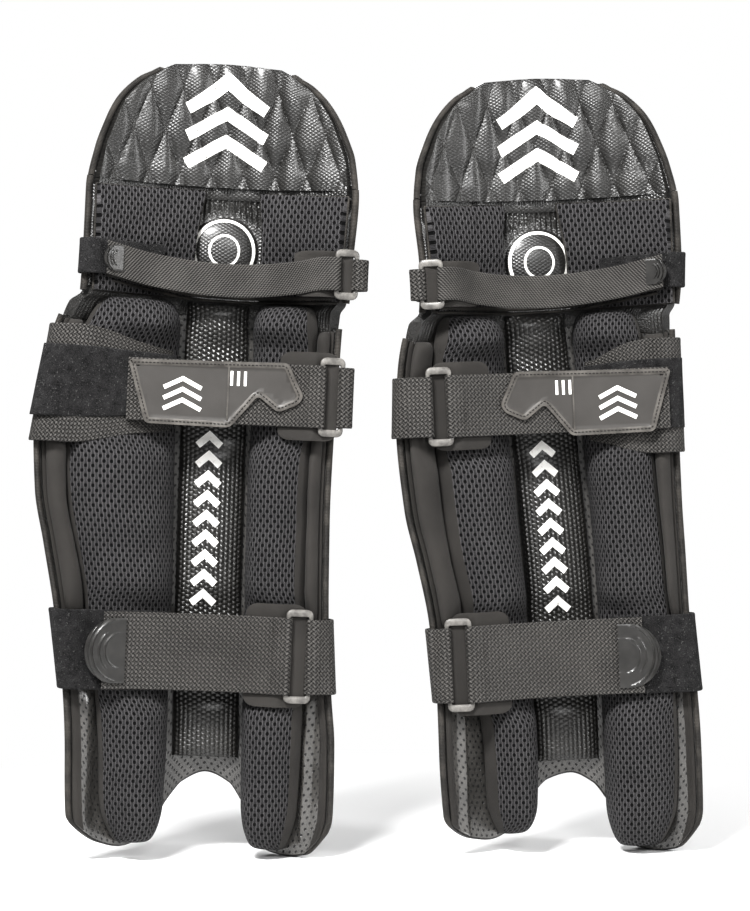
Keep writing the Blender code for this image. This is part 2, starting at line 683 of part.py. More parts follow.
def bodies():
    """Each body's name, its parent body and the point on its own axis."""
    return (
        ("shin", None, (0.0, 0.0, 0.0)),
        ("knee", "shin", KNEE_HINGE),
        ("top", "knee", TOP_HINGE),
        ("knee_ring", "knee", (*KNEE_BARS[1], sum(KNEE_STRAP) / 2)),
        ("knee_strap", "knee_ring", (*KNEE_BARS[0], sum(KNEE_STRAP) / 2)),
        ("calf_ring", "shin", (*CALF_BARS[1], sum(CALF_STRAP) / 2)),
        ("calf_strap", "calf_ring", (*CALF_BARS[0], sum(CALF_STRAP) / 2)),
        ("ankle_ring", "shin", (*ANKLE_BARS[1], sum(ANKLE_STRAP) / 2)),
        ("ankle_strap", "ankle_ring", (*ANKLE_BARS[0], sum(ANKLE_STRAP) / 2)),
    )


def material(name):
    colour, roughness, metallic = MATERIALS[name]
    made = bpy.data.materials.new(name)
    made.use_nodes = True
    shader = made.node_tree.nodes["Principled BSDF"]
    shader.inputs["Base Color"].default_value = (*colour, 1.0)
    shader.inputs["Roughness"].default_value = roughness
    shader.inputs["Metallic"].default_value = metallic
    made.diffuse_color = (*colour, 1.0)
    return made


def axis_empties(side, collection):
    """One empty on each body's axis, in a tree under the guard's own."""
    mirror = 1 if side == "left" else -1
    empties, places = {}, {}
    for name, parent, place in bodies():
        empty = bpy.data.objects.new(f"{side}_{name}_axis", None)
        empty.empty_display_size = 0.02
        collection.objects.link(empty)
        where = Vector((place[0] * mirror, place[1], place[2]))
        if parent:
            empty.parent = empties[parent]
            empty.location = where - places[parent]
        else:
            drop = 2 * SEAT_MIDDLE * math.sin(GUARD_LEAN) if side == "right" else 0.0
            empty.location = (-GUARD_OFFSET * mirror, 0, -drop)
            empty.rotation_euler = (0, GUARD_LEAN * mirror, 0)
        empties[name], places[name] = empty, where
    return empties, places


THICK = {"webbing": WEB, "loop_pile": WEB, "moulded_rubber": 0.0022}


def build_guard(side, collection, materials):
    """All pieces of one guard. The right one's coordinates run from right to left."""
    lay_out(side)
    empties, places = axis_empties(side, collection)
    mirror = Matrix.Diagonal((1 if side == "left" else -1, 1, 1, 1))
    for name, body, material_name, data in pieces():
        data.name = f"{side}_{name}"
        data.transform(Matrix.Translation(-places[body]) @ mirror)
        data.materials.append(materials[material_name])
        piece = bpy.data.objects.new(data.name, data)
        piece.parent = empties[body]
        collection.objects.link(piece)
        if piece.type == "MESH":
            data.shade_smooth()
            if side == "right":
                data.flip_normals()
        if material_name in THICK:
            solid = piece.modifiers.new("Solidify", "SOLIDIFY")
            solid.thickness = THICK[material_name]
            solid.offset = 0
            solid.use_even_offset = True
    return empties["shin"]


def stand_on_floor(roots, collection):
    """Moves the pair so that its box stands on z = 0 with its middle on the Z axis."""
    bpy.context.view_layer.update()
    graph = bpy.context.evaluated_depsgraph_get()
    corners = []
    for piece in collection.objects:
        if piece.type != "EMPTY":
            mesh = piece.evaluated_get(graph).to_mesh()
            corners += [piece.matrix_world @ vertex.co for vertex in mesh.vertices]
    lowest = min(p.z for p in corners)
    middle_x = (min(p.x for p in corners) + max(p.x for p in corners)) / 2
    middle_y = (min(p.y for p in corners) + max(p.y for p in corners)) / 2
    for root in roots:
        root.location -= Vector((middle_x, middle_y, lowest))


def main():
    for old in list(bpy.data.objects):
        bpy.data.objects.remove(old, do_unlink=True)
    collection = bpy.data.collections.new("leg_guard_pair")
    bpy.context.scene.collection.children.link(collection)
    materials = {name: material(name) for name in MATERIALS}
    roots = [build_guard(side, collection, materials) for side in ("left", "right")]
    stand_on_floor(roots, collection)


main()
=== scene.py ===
"""The looks of a pair of padded leg guards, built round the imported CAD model.

Every soft piece is drawn in guard coordinates: x across (minus is the guard's outer side), z up, and n,
the distance from the seam between the front shell and the lining, plus towards the leg. The right
guard's x runs from right to left, so its straps lie on the opposite side. Both shells flare to the same
side, so each guard has its own tables. Sizes are in metres.
"""

import json
import math

import bmesh
import bpy
import numpy as np
from mathutils import Matrix, Vector


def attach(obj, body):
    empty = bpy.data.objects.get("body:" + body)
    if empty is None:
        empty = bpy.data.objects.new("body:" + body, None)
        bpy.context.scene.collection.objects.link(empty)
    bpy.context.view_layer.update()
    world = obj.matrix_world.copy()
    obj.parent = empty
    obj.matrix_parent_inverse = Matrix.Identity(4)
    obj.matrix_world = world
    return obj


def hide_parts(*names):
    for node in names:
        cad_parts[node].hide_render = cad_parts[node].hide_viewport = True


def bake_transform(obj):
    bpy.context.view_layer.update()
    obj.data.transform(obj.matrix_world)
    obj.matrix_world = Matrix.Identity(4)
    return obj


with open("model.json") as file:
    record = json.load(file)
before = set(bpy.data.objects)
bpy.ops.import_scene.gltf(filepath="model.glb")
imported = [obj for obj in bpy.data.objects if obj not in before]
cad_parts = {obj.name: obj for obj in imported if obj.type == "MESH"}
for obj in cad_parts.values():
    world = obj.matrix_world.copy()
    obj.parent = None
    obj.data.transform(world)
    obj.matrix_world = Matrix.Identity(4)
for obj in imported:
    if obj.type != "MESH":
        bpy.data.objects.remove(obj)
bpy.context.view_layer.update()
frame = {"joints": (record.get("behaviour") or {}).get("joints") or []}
SIDES = ("left", "right")

# ---------------------------------------------------------------- the CAD model's dimensions

KNEE_HINGE = (0.0, -0.002, 0.5345)
OUTLINE_LEFT = (
    (0.000, 0.110, 0.116),
    (0.044, 0.121, 0.127),
    (0.113, 0.124, 0.125),
    (0.160, 0.128, 0.120),
    (0.240, 0.140, 0.114),
    (0.300, 0.152, 0.112),
    (0.350, 0.162, 0.111),
    (0.425, 0.166, 0.112),
    (0.480, 0.157, 0.114),
    (0.530, 0.141, 0.116),
    (0.540, 0.129, 0.122),
    (0.586, 0.128, 0.124),
    (0.640, 0.128, 0.127),
    (0.678, 0.122, 0.123),
    (0.701, 0.115, 0.115),
    (0.725, 0.105, 0.103),
    (0.748, 0.085, 0.083),
    (0.757, 0.068, 0.067),
    (0.762, 0.052, 0.052),
)
OUTLINE_RIGHT = (
    (0.000, 0.116, 0.110),
    (0.044, 0.127, 0.121),
    (0.113, 0.126, 0.124),
    (0.160, 0.1245, 0.124),
    (0.240, 0.120, 0.129),
    (0.300, 0.119, 0.139),
    (0.350, 0.118, 0.149),
    (0.425, 0.118, 0.154),
    (0.480, 0.118, 0.150),
    (0.530, 0.118, 0.138),
    (0.540, 0.124, 0.127),
) + OUTLINE_LEFT[11:]
CURL_LEFT = (
    (0.00, 0.045, 0.045),
    (0.11, 0.050, 0.048),
    (0.24, 0.056, 0.046),
    (0.40, 0.064, 0.044),
    (0.53, 0.056, 0.046),
    (0.59, 0.050, 0.048),
    (0.64, 0.046, 0.046),
    (0.70, 0.034, 0.034),
    (0.76, 0.012, 0.012),
)
CURL_RIGHT = tuple((z, inner, outer) for z, outer, inner in CURL_LEFT)
BOW = ((0.0, 0.012), (0.06, 0.005), (0.14, 0.0), (0.64, 0.0), (0.76, -0.010))
CURL_POWER = 2.4
FOOT_LEFT = (
    (-0.130, 0.060),
    (-0.118, 0.026),
    (-0.100, 0.009),
    (-0.080, 0.004),
    (-0.060, 0.009),
    (-0.044, 0.024),
    (-0.030, 0.048),
    (-0.014, 0.068),
    (0.008, 0.078),
    (0.032, 0.068),
    (0.048, 0.046),
    (0.062, 0.024),
    (0.078, 0.003),
    (0.098, 0.000),
    (0.116, 0.003),
    (0.130, 0.034),
)
FOOT_RIGHT = (
    (-0.130, 0.034),
    (-0.116, 0.003),
    (-0.098, 0.000),
    (-0.078, 0.003),
    (-0.062, 0.024),
    (-0.048, 0.046),
    (-0.032, 0.068),
    (-0.008, 0.080),
    (0.014, 0.075),
    (0.030, 0.060),
    (0.044, 0.038),
    (0.060, 0.025),
    (0.080, 0.020),
    (0.100, 0.024),
    (0.118, 0.038),
    (0.130, 0.068),
)
GAP = 0.0009
LINING = 0.0022
ON_LINING = 0.0049  # where a bolster rests
SHELL_EDGE, SHELL_VALLEY, SHELL_RIB = 0.006, 0.012, 0.020
RIB_PITCH = 0.26
WEB = 0.0018
ROD = 0.0020
SHIN_TOP, KNEE_BOTTOM, KNEE_TOP, TOP_BOTTOM, HEIGHT = 0.531, 0.5385, 0.6425, 0.6565, 0.762
CROWN = 0.0080  # how far the padding bulges above the middle of the top edge


def track(points):
    """A smooth function through (key, value) points, which holds its last value past each end."""
    keys, values = np.array(points, float).T
    steps = np.diff(keys)
    grads = np.diff(values) / steps
    slopes = np.zeros(len(keys))
    turning = grads[:-1] * grads[1:] <= 0
    total = np.where(turning, 1.0, grads[:-1] + grads[1:])
    slopes[1:-1] = np.where(turning, 0.0, 2 * grads[:-1] * grads[1:] / total)
    slopes[0], slopes[-1] = grads[0], grads[-1]

    def read(key):
        key = np.clip(key, keys[0], keys[-1])
        i = np.clip(np.searchsorted(keys, key, side="right") - 1, 0, len(steps) - 1)
        t = (key - keys[i]) / steps[i]
        start = values[i] * (1 + 2 * t) * (1 - t) ** 2 + steps[i] * slopes[i] * t * (1 - t) ** 2
        return start + values[i + 1] * t * t * (3 - 2 * t) + steps[i] * slopes[i + 1] * t * t * (t - 1)

    return read


bow = track(BOW)


def half_width(sign, z):
    return np.where(np.asarray(sign) < 0, outer_width(z), inner_width(z))


def seam(u, z, n=0.0):
    """The point n from the seam, at the share u of the half width. Past the edges it runs on straight."""
    u, z, n = np.broadcast_arrays(np.asarray(u, float), z, n)
    width = half_width(u, z)
    curl = np.where(u < 0, outer_curl(z), inner_curl(z))
    held = np.clip(u, -1, 1)
    slope = -curl * CURL_POWER * np.abs(held) ** (CURL_POWER - 1) * np.sign(held)
    length = np.hypot(slope, width)
    y = bow(z) - curl * np.abs(held) ** CURL_POWER + (u - held) * slope
    crown = CROWN * smooth(z, 0.730, 0.762) * np.clip(1 - (u * width / 0.072) ** 2, 0, 1)
    return np.stack((u * width + n * slope / length, y - n * width / length, z + crown), -1)


def across(x, z, n=0.0):
    """As seam, for a distance across in metres."""
    x = np.asarray(x, float)
    return seam(x / half_width(x, z), z, n)


def foot_edge(u):
    return foot(u * half_width(u, 0.05))


def guard_matrix(side):
    """From guard coordinates to the row frame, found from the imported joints."""
    joints = {joint["name"]: joint for joint in frame["joints"]}
    flex = joints[f"{side}_knee_flex"]
    right = Vector(flex["axis"])
    up = Vector(joints[f"{side}_knee_ring_swing"]["axis"])
    right = right if right.x > 0 else -right
    up = up if up.z > 0 else -up
    columns = (right if side == "left" else -right, up.cross(right), up)
    turn = Matrix(columns).transposed()
    matrix = turn.to_4x4()
    matrix.translation = Vector(flex["pos_m"]) - turn @ Vector(KNEE_HINGE)
    return matrix


GUARD = {side: guard_matrix(side) for side in SIDES}

# ---------------------------------------------------------------- helpers for shapes


def smooth(value, low, high):
    """0 below low and 1 above high, turning smoothly between them."""
    t = np.clip((value - low) / (high - low), 0, 1)
    return t * t * (3 - 2 * t)


def bump(value, centre, reach):
    """1 at the centre, 0 beyond reach."""
    return 1 - smooth(np.abs(value - centre), 0, reach)


def dome(share, power=2.2):
    """1 in the middle of 0..1 and 0 at both ends, with rounded shoulders."""
    return (1 - np.abs(2 * np.clip(share, 0, 1) - 1) ** power) ** (1 / power)


def ripple(a, b, size, seed=0.0):
    """Soft uneven waves between -1 and 1, about size across."""
    total = 0.0
    for k in range(4):
        turn = 1.7 * k + seed
        along = a * np.cos(turn) + b * np.sin(turn)
        total = total + np.sin(along * math.tau / (size * (1 + 0.31 * k)) + 2.3 * k)
    return total / 4


def eased(count, power=1.0):
    """Shares from 0 to 1 in count steps, closer together at both ends."""
    t = np.linspace(0, 1, count + 1)
    return t + (power / math.tau) * 0.9 * -np.sin(math.tau * t)


def spline(points, count):
    """Points along a smooth line through the given ones, in count even steps of length."""
    points = np.asarray(points, float)
    keys = np.concatenate(([0], np.cumsum(np.linalg.norm(np.diff(points, axis=0), axis=1))))
    slopes = np.gradient(points, keys, axis=0)
    at = np.linspace(0, keys[-1], count + 1)
    i = np.clip(np.searchsorted(keys, at, side="right") - 1, 0, len(keys) - 2)
    step = (keys[i + 1] - keys[i])[:, None]
    t = ((at - keys[i]) / step[:, 0])[:, None]
    start = points[i] * (1 + 2 * t) * (1 - t) ** 2 + step * slopes[i] * t * (1 - t) ** 2
    return start + points[i + 1] * t * t * (3 - 2 * t) + step * slopes[i + 1] * t * t * (t - 1)


def unit(vectors):
    return vectors / np.maximum(np.linalg.norm(vectors, axis=-1, keepdims=True), 1e-12)


class Shape:
    """Points, faces, flat coordinates in metres and material numbers of one piece."""

    def __init__(self, points, faces, flat, slots=0):
        self.points = np.asarray(points, float).reshape(-1, 3)
        if isinstance(faces, np.ndarray):
            self.counts = np.full(len(faces), faces.shape[1])
            self.loops = faces.ravel()
        else:
            self.counts = np.array([len(face) for face in faces])
            self.loops = np.concatenate([np.asarray(face) for face in faces])
        self.flat = np.asarray(flat, float).reshape(-1, 2)
        self.slots = np.broadcast_to(np.asarray(slots), len(self.counts)).copy()

    def painted(self, number):
        self.slots[:] = number
        return self

    def volume(self):
        """Signed volume, from each face's fan of triangles."""
        total = 0.0
        for size in np.unique(self.counts):
            chosen = np.repeat(self.counts == size, self.counts)
            corners = self.points[self.loops[chosen].reshape(-1, size)]
            for k in range(1, size - 1):
                total += np.einsum("ij,ij->", corners[:, 0], np.cross(corners[:, k], corners[:, k + 1]))
        return total

    def turned(self):
        """The same faces, wound the other way."""
        ends = np.cumsum(self.counts)
        within = np.arange(len(self.loops)) - np.repeat(ends - self.counts, self.counts)
        order = np.repeat(ends, self.counts) - 1 - within
        self.loops = self.loops[order]
        return self


def joined(shapes):
    made = shapes[0]
    offset = np.cumsum([0] + [len(shape.points) for shape in shapes])
    whole = Shape.__new__(Shape)
    whole.points = np.concatenate([shape.points for shape in shapes])
    whole.counts = np.concatenate([shape.counts for shape in shapes])
    whole.loops = np.concatenate([shape.loops + start for shape, start in zip(shapes, offset)])
    whole.flat = np.concatenate([shape.flat for shape in shapes])
    whole.slots = np.concatenate([shape.slots for shape in shapes])
    return whole if len(shapes) > 1 else made


def outward(shape):
    return shape.turned() if shape.volume() < 0 else shape


def metric(grid):
    """Distances over a grid of points: along each row from its middle, and up the middle column."""
    middle = grid.shape[1] // 2
    steps = np.linalg.norm(np.diff(grid, axis=1), axis=2)
    along = np.concatenate((np.zeros((len(grid), 1)), np.cumsum(steps, axis=1)), axis=1)
    climb = np.linalg.norm(np.diff(grid[:, middle], axis=0), axis=1)
    up = np.concatenate(([0], np.cumsum(climb)))
    return np.stack((along - along[:, middle : middle + 1], np.broadcast_to(up[:, None], along.shape)), -1)


def slab(low, high, slots=None):
    """A closed shape between two grids of points. slots numbers the material of each cell."""
    rows, columns = low.shape[:2]
    count = rows * columns
    index = np.arange(count).reshape(rows, columns)
    a, b, c, d = index[:-1, :-1], index[:-1, 1:], index[1:, 1:], index[1:, :-1]
    tops = np.stack((a, b, c, d), -1).reshape(-1, 4) + count
    bottoms = np.stack((a, d, c, b), -1).reshape(-1, 4)
    border = np.concatenate((index[0], index[1:, -1], index[-1, -2::-1], index[-2:0:-1, 0]))
    following = np.roll(border, -1)
    sides = np.stack((border, following, following + count, border + count), -1)
    flat = metric(high)
    cells = np.zeros((rows - 1, columns - 1), int) if slots is None else slots
    edge = np.concatenate((cells[0], cells[:, -1], cells[-1, ::-1], cells[::-1, 0]))
    numbers = np.concatenate((cells.ravel(), cells.ravel(), edge[: len(sides)]))
    points = np.concatenate((low.reshape(-1, 3), high.reshape(-1, 3)))
    faces = np.concatenate((tops, bottoms, sides))
    return outward(Shape(points, faces, np.concatenate((flat, flat)), numbers))


def tube(path, radius, sides=8, closed=False):
    """A round cord along a path. radius is one number or one for each point."""
    path = np.asarray(path, float)
    count = len(path)
    ahead = np.roll(path, -1, 0) - np.roll(path, 1, 0) if closed else np.gradient(path, axis=0)
    tangent = unit(ahead)
    normal = np.zeros_like(path)
    start = np.eye(3)[np.argmin(np.abs(tangent[0]))]
    for i in range(count):
        previous = normal[i - 1] if i else start
        normal[i] = unit(previous - tangent[i] * (previous @ tangent[i]))
    side = np.cross(tangent, normal)
    angles = np.arange(sides) * math.tau / sides
    spokes = np.cos(angles)[None, :, None] * normal[:, None] + np.sin(angles)[None, :, None] * side[:, None]
    points = path[:, None] + np.broadcast_to(radius, count)[:, None, None] * spokes
    index = np.arange(count * sides).reshape(count, sides)
    here = index if closed else index[:-1]
    there = np.roll(index, -1, 0) if closed else index[1:]
    faces = np.stack((here, np.roll(here, -1, 1), np.roll(there, -1, 1), there), -1).reshape(-1, 4)
    faces = list(faces)
    if not closed:
        faces += [index[0][::-1], index[-1]]
    length = np.concatenate(([0], np.cumsum(np.linalg.norm(np.diff(path, axis=0), axis=1))))
    around = angles * np.mean(radius)
    flat = np.stack(np.broadcast_arrays(length[:, None], around[None]), -1)
    return outward(Shape(points, faces, flat))


def ribbon(
    low_edge, high_edge, thickness, lift=0.0, outside=0, step=0.0025, round_off=0.0012, sway=0.0, slots=None
):
    """A closed strip of cloth between two long edges.

    lift moves it off that surface, towards the leg at the end of the strip that outside names (0 or -1).
    """
    low_edge, high_edge = np.asarray(low_edge, float), np.asarray(high_edge, float)
    length = np.linalg.norm(np.diff((low_edge + high_edge) / 2, axis=0), axis=1).sum()
    count = max(int(length / step), 8)
    low, high = spline(low_edge, count), spline(high_edge, count)
    width = np.linalg.norm(high - low, axis=1).mean()
    rim = np.array([0, 0.25, 0.6, 1.0, 1.8]) * round_off / width
    inner = np.linspace(rim[-1], 1 - rim[-1], max(int(width / 0.0035), 6))[1:-1]
    w = np.concatenate((rim, inner, 1 - rim[::-1]))
    surface = low[None] + (high - low)[None] * w[:, None, None]
    normal = unit(np.cross(np.gradient(surface, axis=1), np.gradient(surface, axis=0)))
    if normal[len(w) // 2, outside, 1] > 0:
        normal = -normal
    distance = np.minimum(w, 1 - w)[:, None] * width
    end = np.minimum(np.arange(count + 1), count - np.arange(count + 1))[None] * length / count
    near = np.minimum(distance, end + 0.0002)
    half = thickness / 2 * np.sqrt(1 - (1 - np.clip(near / round_off, 0.02, 1)) ** 2)
    half = half * (1 + 0.16 * np.exp(-(((distance - 0.0024) / 0.0009) ** 2)))
    along = np.linspace(0, length, count + 1)[None]
    shift = lift + sway * ripple(along, w[:, None] * width * 1.6, 0.055, length * 40)
    low_side = surface + normal * (shift - half)[..., None]
    high_side = surface + normal * (shift + half)[..., None]
    return slab(low_side, high_side, None if slots is None else slots(w, along[0]))


def resampled(path, step, closed=False):
    """Points about step apart along straight lines between the given ones, which are all kept."""
    path = [np.asarray(p, float) for p in path]
    ends = path[1:] + ([path[0]] if closed else [])
    made = []
    for here, there in zip(path, ends):
        count = max(int(np.linalg.norm(there - here) / step), 1)
        made += [here + (there - here) * k / count for k in range(count)]
    return np.array(made if closed else made + [path[-1]])


def rounded(corners, radius, steps=5):
    """A closed outline whose corners are turned with short curves."""
    made = []
    count = len(corners)
    for i in range(count):
        before, here, after = (np.array(corners[(i + k) % count], float) for k in (-1, 0, 1))
        reach = min(radius, np.linalg.norm(before - here) * 0.45, np.linalg.norm(after - here) * 0.45)
        start = here + unit(before - here) * reach
        stop = here + unit(after - here) * reach
        for t in np.linspace(0, 1, steps + 1):
            made.append(start * (1 - t) ** 2 + here * 2 * t * (1 - t) + stop * t * t)
    return made


def stroke(path, width, place, height=0.00035, closed=False, step=0.0015, sunk=0.0004):
    """A raised line of ink on a surface: path is (x, z) points, and place puts (x, z, height) in space."""
    path = resampled(path, step, closed)
    if closed:
        path = np.concatenate((path, path[:1]))
        padded = np.concatenate((path[-2:-1], path, path[1:2]))
    else:
        padded = np.concatenate((2 * path[:1] - path[1:2], path, 2 * path[-1:] - path[-2:-1]))
    before, after = unit(padded[1:-1] - padded[:-2]), unit(padded[2:] - padded[1:-1])
    along = unit(before + after)
    sideways = np.stack((-along[:, 1], along[:, 0]), -1)
    mitre = 1 / np.maximum(np.einsum("ij,ij->i", along, after), 0.4)
    lanes = np.linspace(-0.5, 0.5, max(int(width / 0.0015), 2) + 1) * width
    spots = path[None] + sideways[None] * (lanes[:, None] * mitre[None])[..., None]
    x, z = spots[..., 0], spots[..., 1]
    return slab(place(x, z, np.full_like(x, -sunk)), place(x, z, np.full_like(x, height)))


def stitches(path, lift, pitch=0.0032, length=0.0022, thread=0.00032, rise=0.0003):
    """Dashes of thread along a path. lift points off the cloth: one vector, or one for each point."""
    path = np.asarray(path, float)
    lift = np.broadcast_to(np.asarray(lift, float), path.shape)
    keys = np.concatenate(([0], np.cumsum(np.linalg.norm(np.diff(path, axis=0), axis=1))))
    count = max(int(keys[-1] / pitch), 1)
    centres = (np.arange(count) + 0.5) * keys[-1] / count
    at = centres[:, None] + np.array([-0.5, -0.3, 0.3, 0.5]) * length
    spots = np.stack([np.interp(at, keys, path[:, k]) for k in range(3)], -1)
    off = unit(np.stack([np.interp(at, keys, lift[:, k]) for k in range(3)], -1))
    along = unit(spots[:, -1:] - spots[:, :1])
    side = unit(np.cross(along, off))
    heights = np.array([-0.5 * thread, rise, rise, -0.5 * thread])[None, :, None]
    spots = spots + off * heights
    spokes = np.stack((side, off, -side, -off), 2) * thread
    spokes = spokes * np.array([0.5, 1, 1, 0.5])[None, :, None, None]
    points = spots[:, :, None] + spokes
    index = np.arange(count * 16).reshape(count, 4, 4)
    faces = []
    for k in range(3):
        here, there = index[:, k], index[:, k + 1]
        faces.append(np.stack((here, there, np.roll(there, -1, 1), np.roll(here, -1, 1)), -1).reshape(-1, 4))
    faces += [index[:, 0], index[:, 3][:, ::-1]]
    flat = np.zeros((count * 16, 2))
    return outward(Shape(points, np.concatenate(faces), flat))


def plate(outline, levels, place, step=0.005, slots=()):
    """A moulded plate: an outline in (x, z), and levels as (inset, height) steps towards its middle.

    slots gives the material number of each ring of faces between two levels, then of the middle.
    """
    mesh = bmesh.new()
    tag = mesh.faces.layers.int.new("slot")
    base = [mesh.verts.new((x, z, 0.0)) for x, z in outline]
    edge = [mesh.verts.new((x, z, levels[0][1])) for x, z in outline]
    mesh.faces.new(base[::-1])
    top = mesh.faces.new(edge)
    for i in range(len(base)):
        j = (i + 1) % len(base)
        mesh.faces.new((base[i], base[j], edge[j], edge[i]))
    for number, (inset, height) in enumerate(levels[1:]):
        ring = bmesh.ops.inset_region(mesh, faces=[top], thickness=inset, use_even_offset=True)["faces"]
        for face in ring:
            face[tag] = slots[number] if number < len(slots) else 0
        for vert in top.verts:
            vert.co.z = height
    top[tag] = slots[-1] if slots else 0
    xs, zs = [x for x, z in outline], [z for x, z in outline]
    for axis, values in ((0, xs), (1, zs)):
        for cut in np.arange(min(values) + step, max(values), step):
            point = Vector((cut, 0, 0)) if axis == 0 else Vector((0, cut, 0))
            normal = Vector((1, 0, 0)) if axis == 0 else Vector((0, 1, 0))
            everything = list(mesh.verts) + list(mesh.edges) + list(mesh.faces)
            bmesh.ops.bisect_plane(mesh, geom=everything, dist=1e-7, plane_co=point, plane_no=normal)
    mesh.verts.index_update()
    co = np.array([vert.co for vert in mesh.verts])
    faces = [[vert.index for vert in face.verts] for face in mesh.faces]
    numbers = [face[tag] for face in mesh.faces]
    mesh.free()
    return outward(Shape(place(co[:, 0], co[:, 1], co[:, 2]), faces, co[:, :2], numbers))


def follow(path, low, high, sag=None):
    """The two edges of a strap: (x, y) points at two heights, each lowered by sag."""
    sag = np.zeros(len(path)) if sag is None else np.asarray(sag)
    flat = np.asarray(path, float)
    return [np.column_stack((flat, level - sag)) for level in (low, high)]


def arc(centre, radius, start, stop, steps):
    """Points on an arc, angles in degrees."""
    angles = np.radians(np.linspace(start, stop, steps + 1))
    return [(centre[0] + radius * math.cos(a), centre[1] + radius * math.sin(a)) for a in angles]


# ---------------------------------------------------------------- materials


class Signal:
    """A number inside a material, with plain arithmetic."""

    def __init__(self, tree, socket):
        self.tree, self.socket = tree, socket

    def op(self, kind, *others):
        node = self.tree.nodes.new("ShaderNodeMath")
        node.operation = kind
        for slot, value in zip(node.inputs, (self, *others)):
            plug(self.tree, value, slot)
        return Signal(self.tree, node.outputs[0])

    def __add__(self, other):
        return self.op("ADD", other)

    def __sub__(self, other):
        return self.op("SUBTRACT", other)

    def __mul__(self, other):
        return self.op("MULTIPLY", other)

    def __truediv__(self, other):
        return self.op("DIVIDE", other)

    def power(self, other):
        return self.op("POWER", other)

    def size(self):
        return self.op("ABSOLUTE")

    def floor(self):
        return self.op("FLOOR")

    def part(self):
        """The fractional part."""
        return self.op("FRACT")

    def wave(self, length):
        """A sine of this wavelength."""
        return (self * (math.tau / length)).op("SINE")

    def ramp(self, low, high):
        """0 at low and 1 at high, turning smoothly."""
        node = self.tree.nodes.new("ShaderNodeMapRange")
        node.interpolation_type = "SMOOTHSTEP"
        for slot, value in zip(node.inputs, (self, low, high, 0.0, 1.0)):
            plug(self.tree, value, slot)
        return Signal(self.tree, node.outputs[0])


def plug(tree, value, slot):
    if isinstance(value, Signal):
        tree.links.new(value.socket, slot)
    else:
        slot.default_value = value


class Finish:
    """One material as it is put together: surface coordinates in, colour, roughness and relief out."""

    def __init__(self, name):
        self.material = bpy.data.materials.new(name)
        self.material.use_nodes = True
        self.tree = self.material.node_tree
        self.shader = self.tree.nodes["Principled BSDF"]
        flat = self.tree.nodes.new("ShaderNodeUVMap")
        flat.uv_map = "flat"
        split = self.tree.nodes.new("ShaderNodeSeparateXYZ")
        self.tree.links.new(flat.outputs[0], split.inputs[0])
        self.u, self.v = (Signal(self.tree, split.outputs[k]) for k in (0, 1))
        self.space = self.tree.nodes.new("ShaderNodeTexCoord").outputs["Object"]

    def noise(self, scale, detail=3.0, rough=0.55):
        """Clouds in space, about 1/scale metres across, between 0 and 1."""
        node = self.tree.nodes.new("ShaderNodeTexNoise")
        node.inputs["Scale"].default_value = scale
        node.inputs["Detail"].default_value = detail
        node.inputs["Roughness"].default_value = rough
        self.tree.links.new(self.space, node.inputs["Vector"])
        return Signal(self.tree, node.outputs[0])

    def lattice(self, pitch, row, reach_u, reach_v):
        """The distance from the nearest spot of a staggered lattice, 1 on the spot's rim."""
        shift = (self.v / row).floor() * 0.5
        du = ((self.u / pitch + shift).part() - 0.5) * (pitch / reach_u)
        dv = ((self.v / row).part() - 0.5) * (row / reach_v)
        return (du * du + dv * dv).power(0.5)

    def lozenge(self, pitch, row):
        """Height over a staggered lattice of lozenges: 1 at each middle and 0 at the edges."""
        a = (self.u / pitch + self.v / row).part() - 0.5
        b = (self.u / pitch - self.v / row).part() - 0.5
        return (a.size() * -2 + 1) * (b.size() * -2 + 1)

    def weave(self, pitch, turned=False):
        """Height over a plain weave, between 0 and 1."""
        u, v = (self.u + self.v, self.u - self.v) if turned else (self.u, self.v)
        pitch = pitch * math.sqrt(2) if turned else pitch
        over = ((u / pitch).floor() + (v / pitch).floor()) * 0.5
        warp = over.part() * 2
        cu, cv = ((u / pitch).part() - 0.5).size() * 2, ((v / pitch).part() - 0.5).size() * 2
        return warp * (cu * cu * -0.8 + 1) + (warp * -1 + 1) * (cv * cv * -0.8 + 0.8)

    def colour(self, low, high, share):
        """Blends two colours by share."""
        node = self.tree.nodes.new("ShaderNodeMix")
        node.data_type = "RGBA"
        node.clamp_factor = True
        plug(self.tree, share, node.inputs["Factor"])
        for slot, value in zip((node.inputs[6], node.inputs[7]), (low, high)):
            if isinstance(value, tuple):
                slot.default_value = (*value, 1.0)
            else:
                self.tree.links.new(value, slot)
        return node.outputs[2]

    def done(self, colour, roughness, height, depth, sheen=0.0, specular=0.5, coat=0.0, tint=(1, 1, 1)):
        """depth is the relief's height in metres where height is 1."""
        shader = self.shader.inputs
        self.tree.links.new(colour, shader["Base Color"])
        plug(self.tree, roughness, shader["Roughness"])
        shader["Specular IOR Level"].default_value = specular
        shader["Sheen Weight"].default_value = sheen
        shader["Sheen Roughness"].default_value = 0.45
        shader["Sheen Tint"].default_value = (*tint, 1.0)
        shader["Coat Weight"].default_value = coat
        shader["Coat Roughness"].default_value = 0.25
        relief = self.tree.nodes.new("ShaderNodeBump")
        relief.inputs["Distance"].default_value = depth
        relief.inputs["Strength"].default_value = 1.0
        plug(self.tree, height, relief.inputs["Height"])
        self.tree.links.new(relief.outputs[0], shader["Normal"])
        return self.material


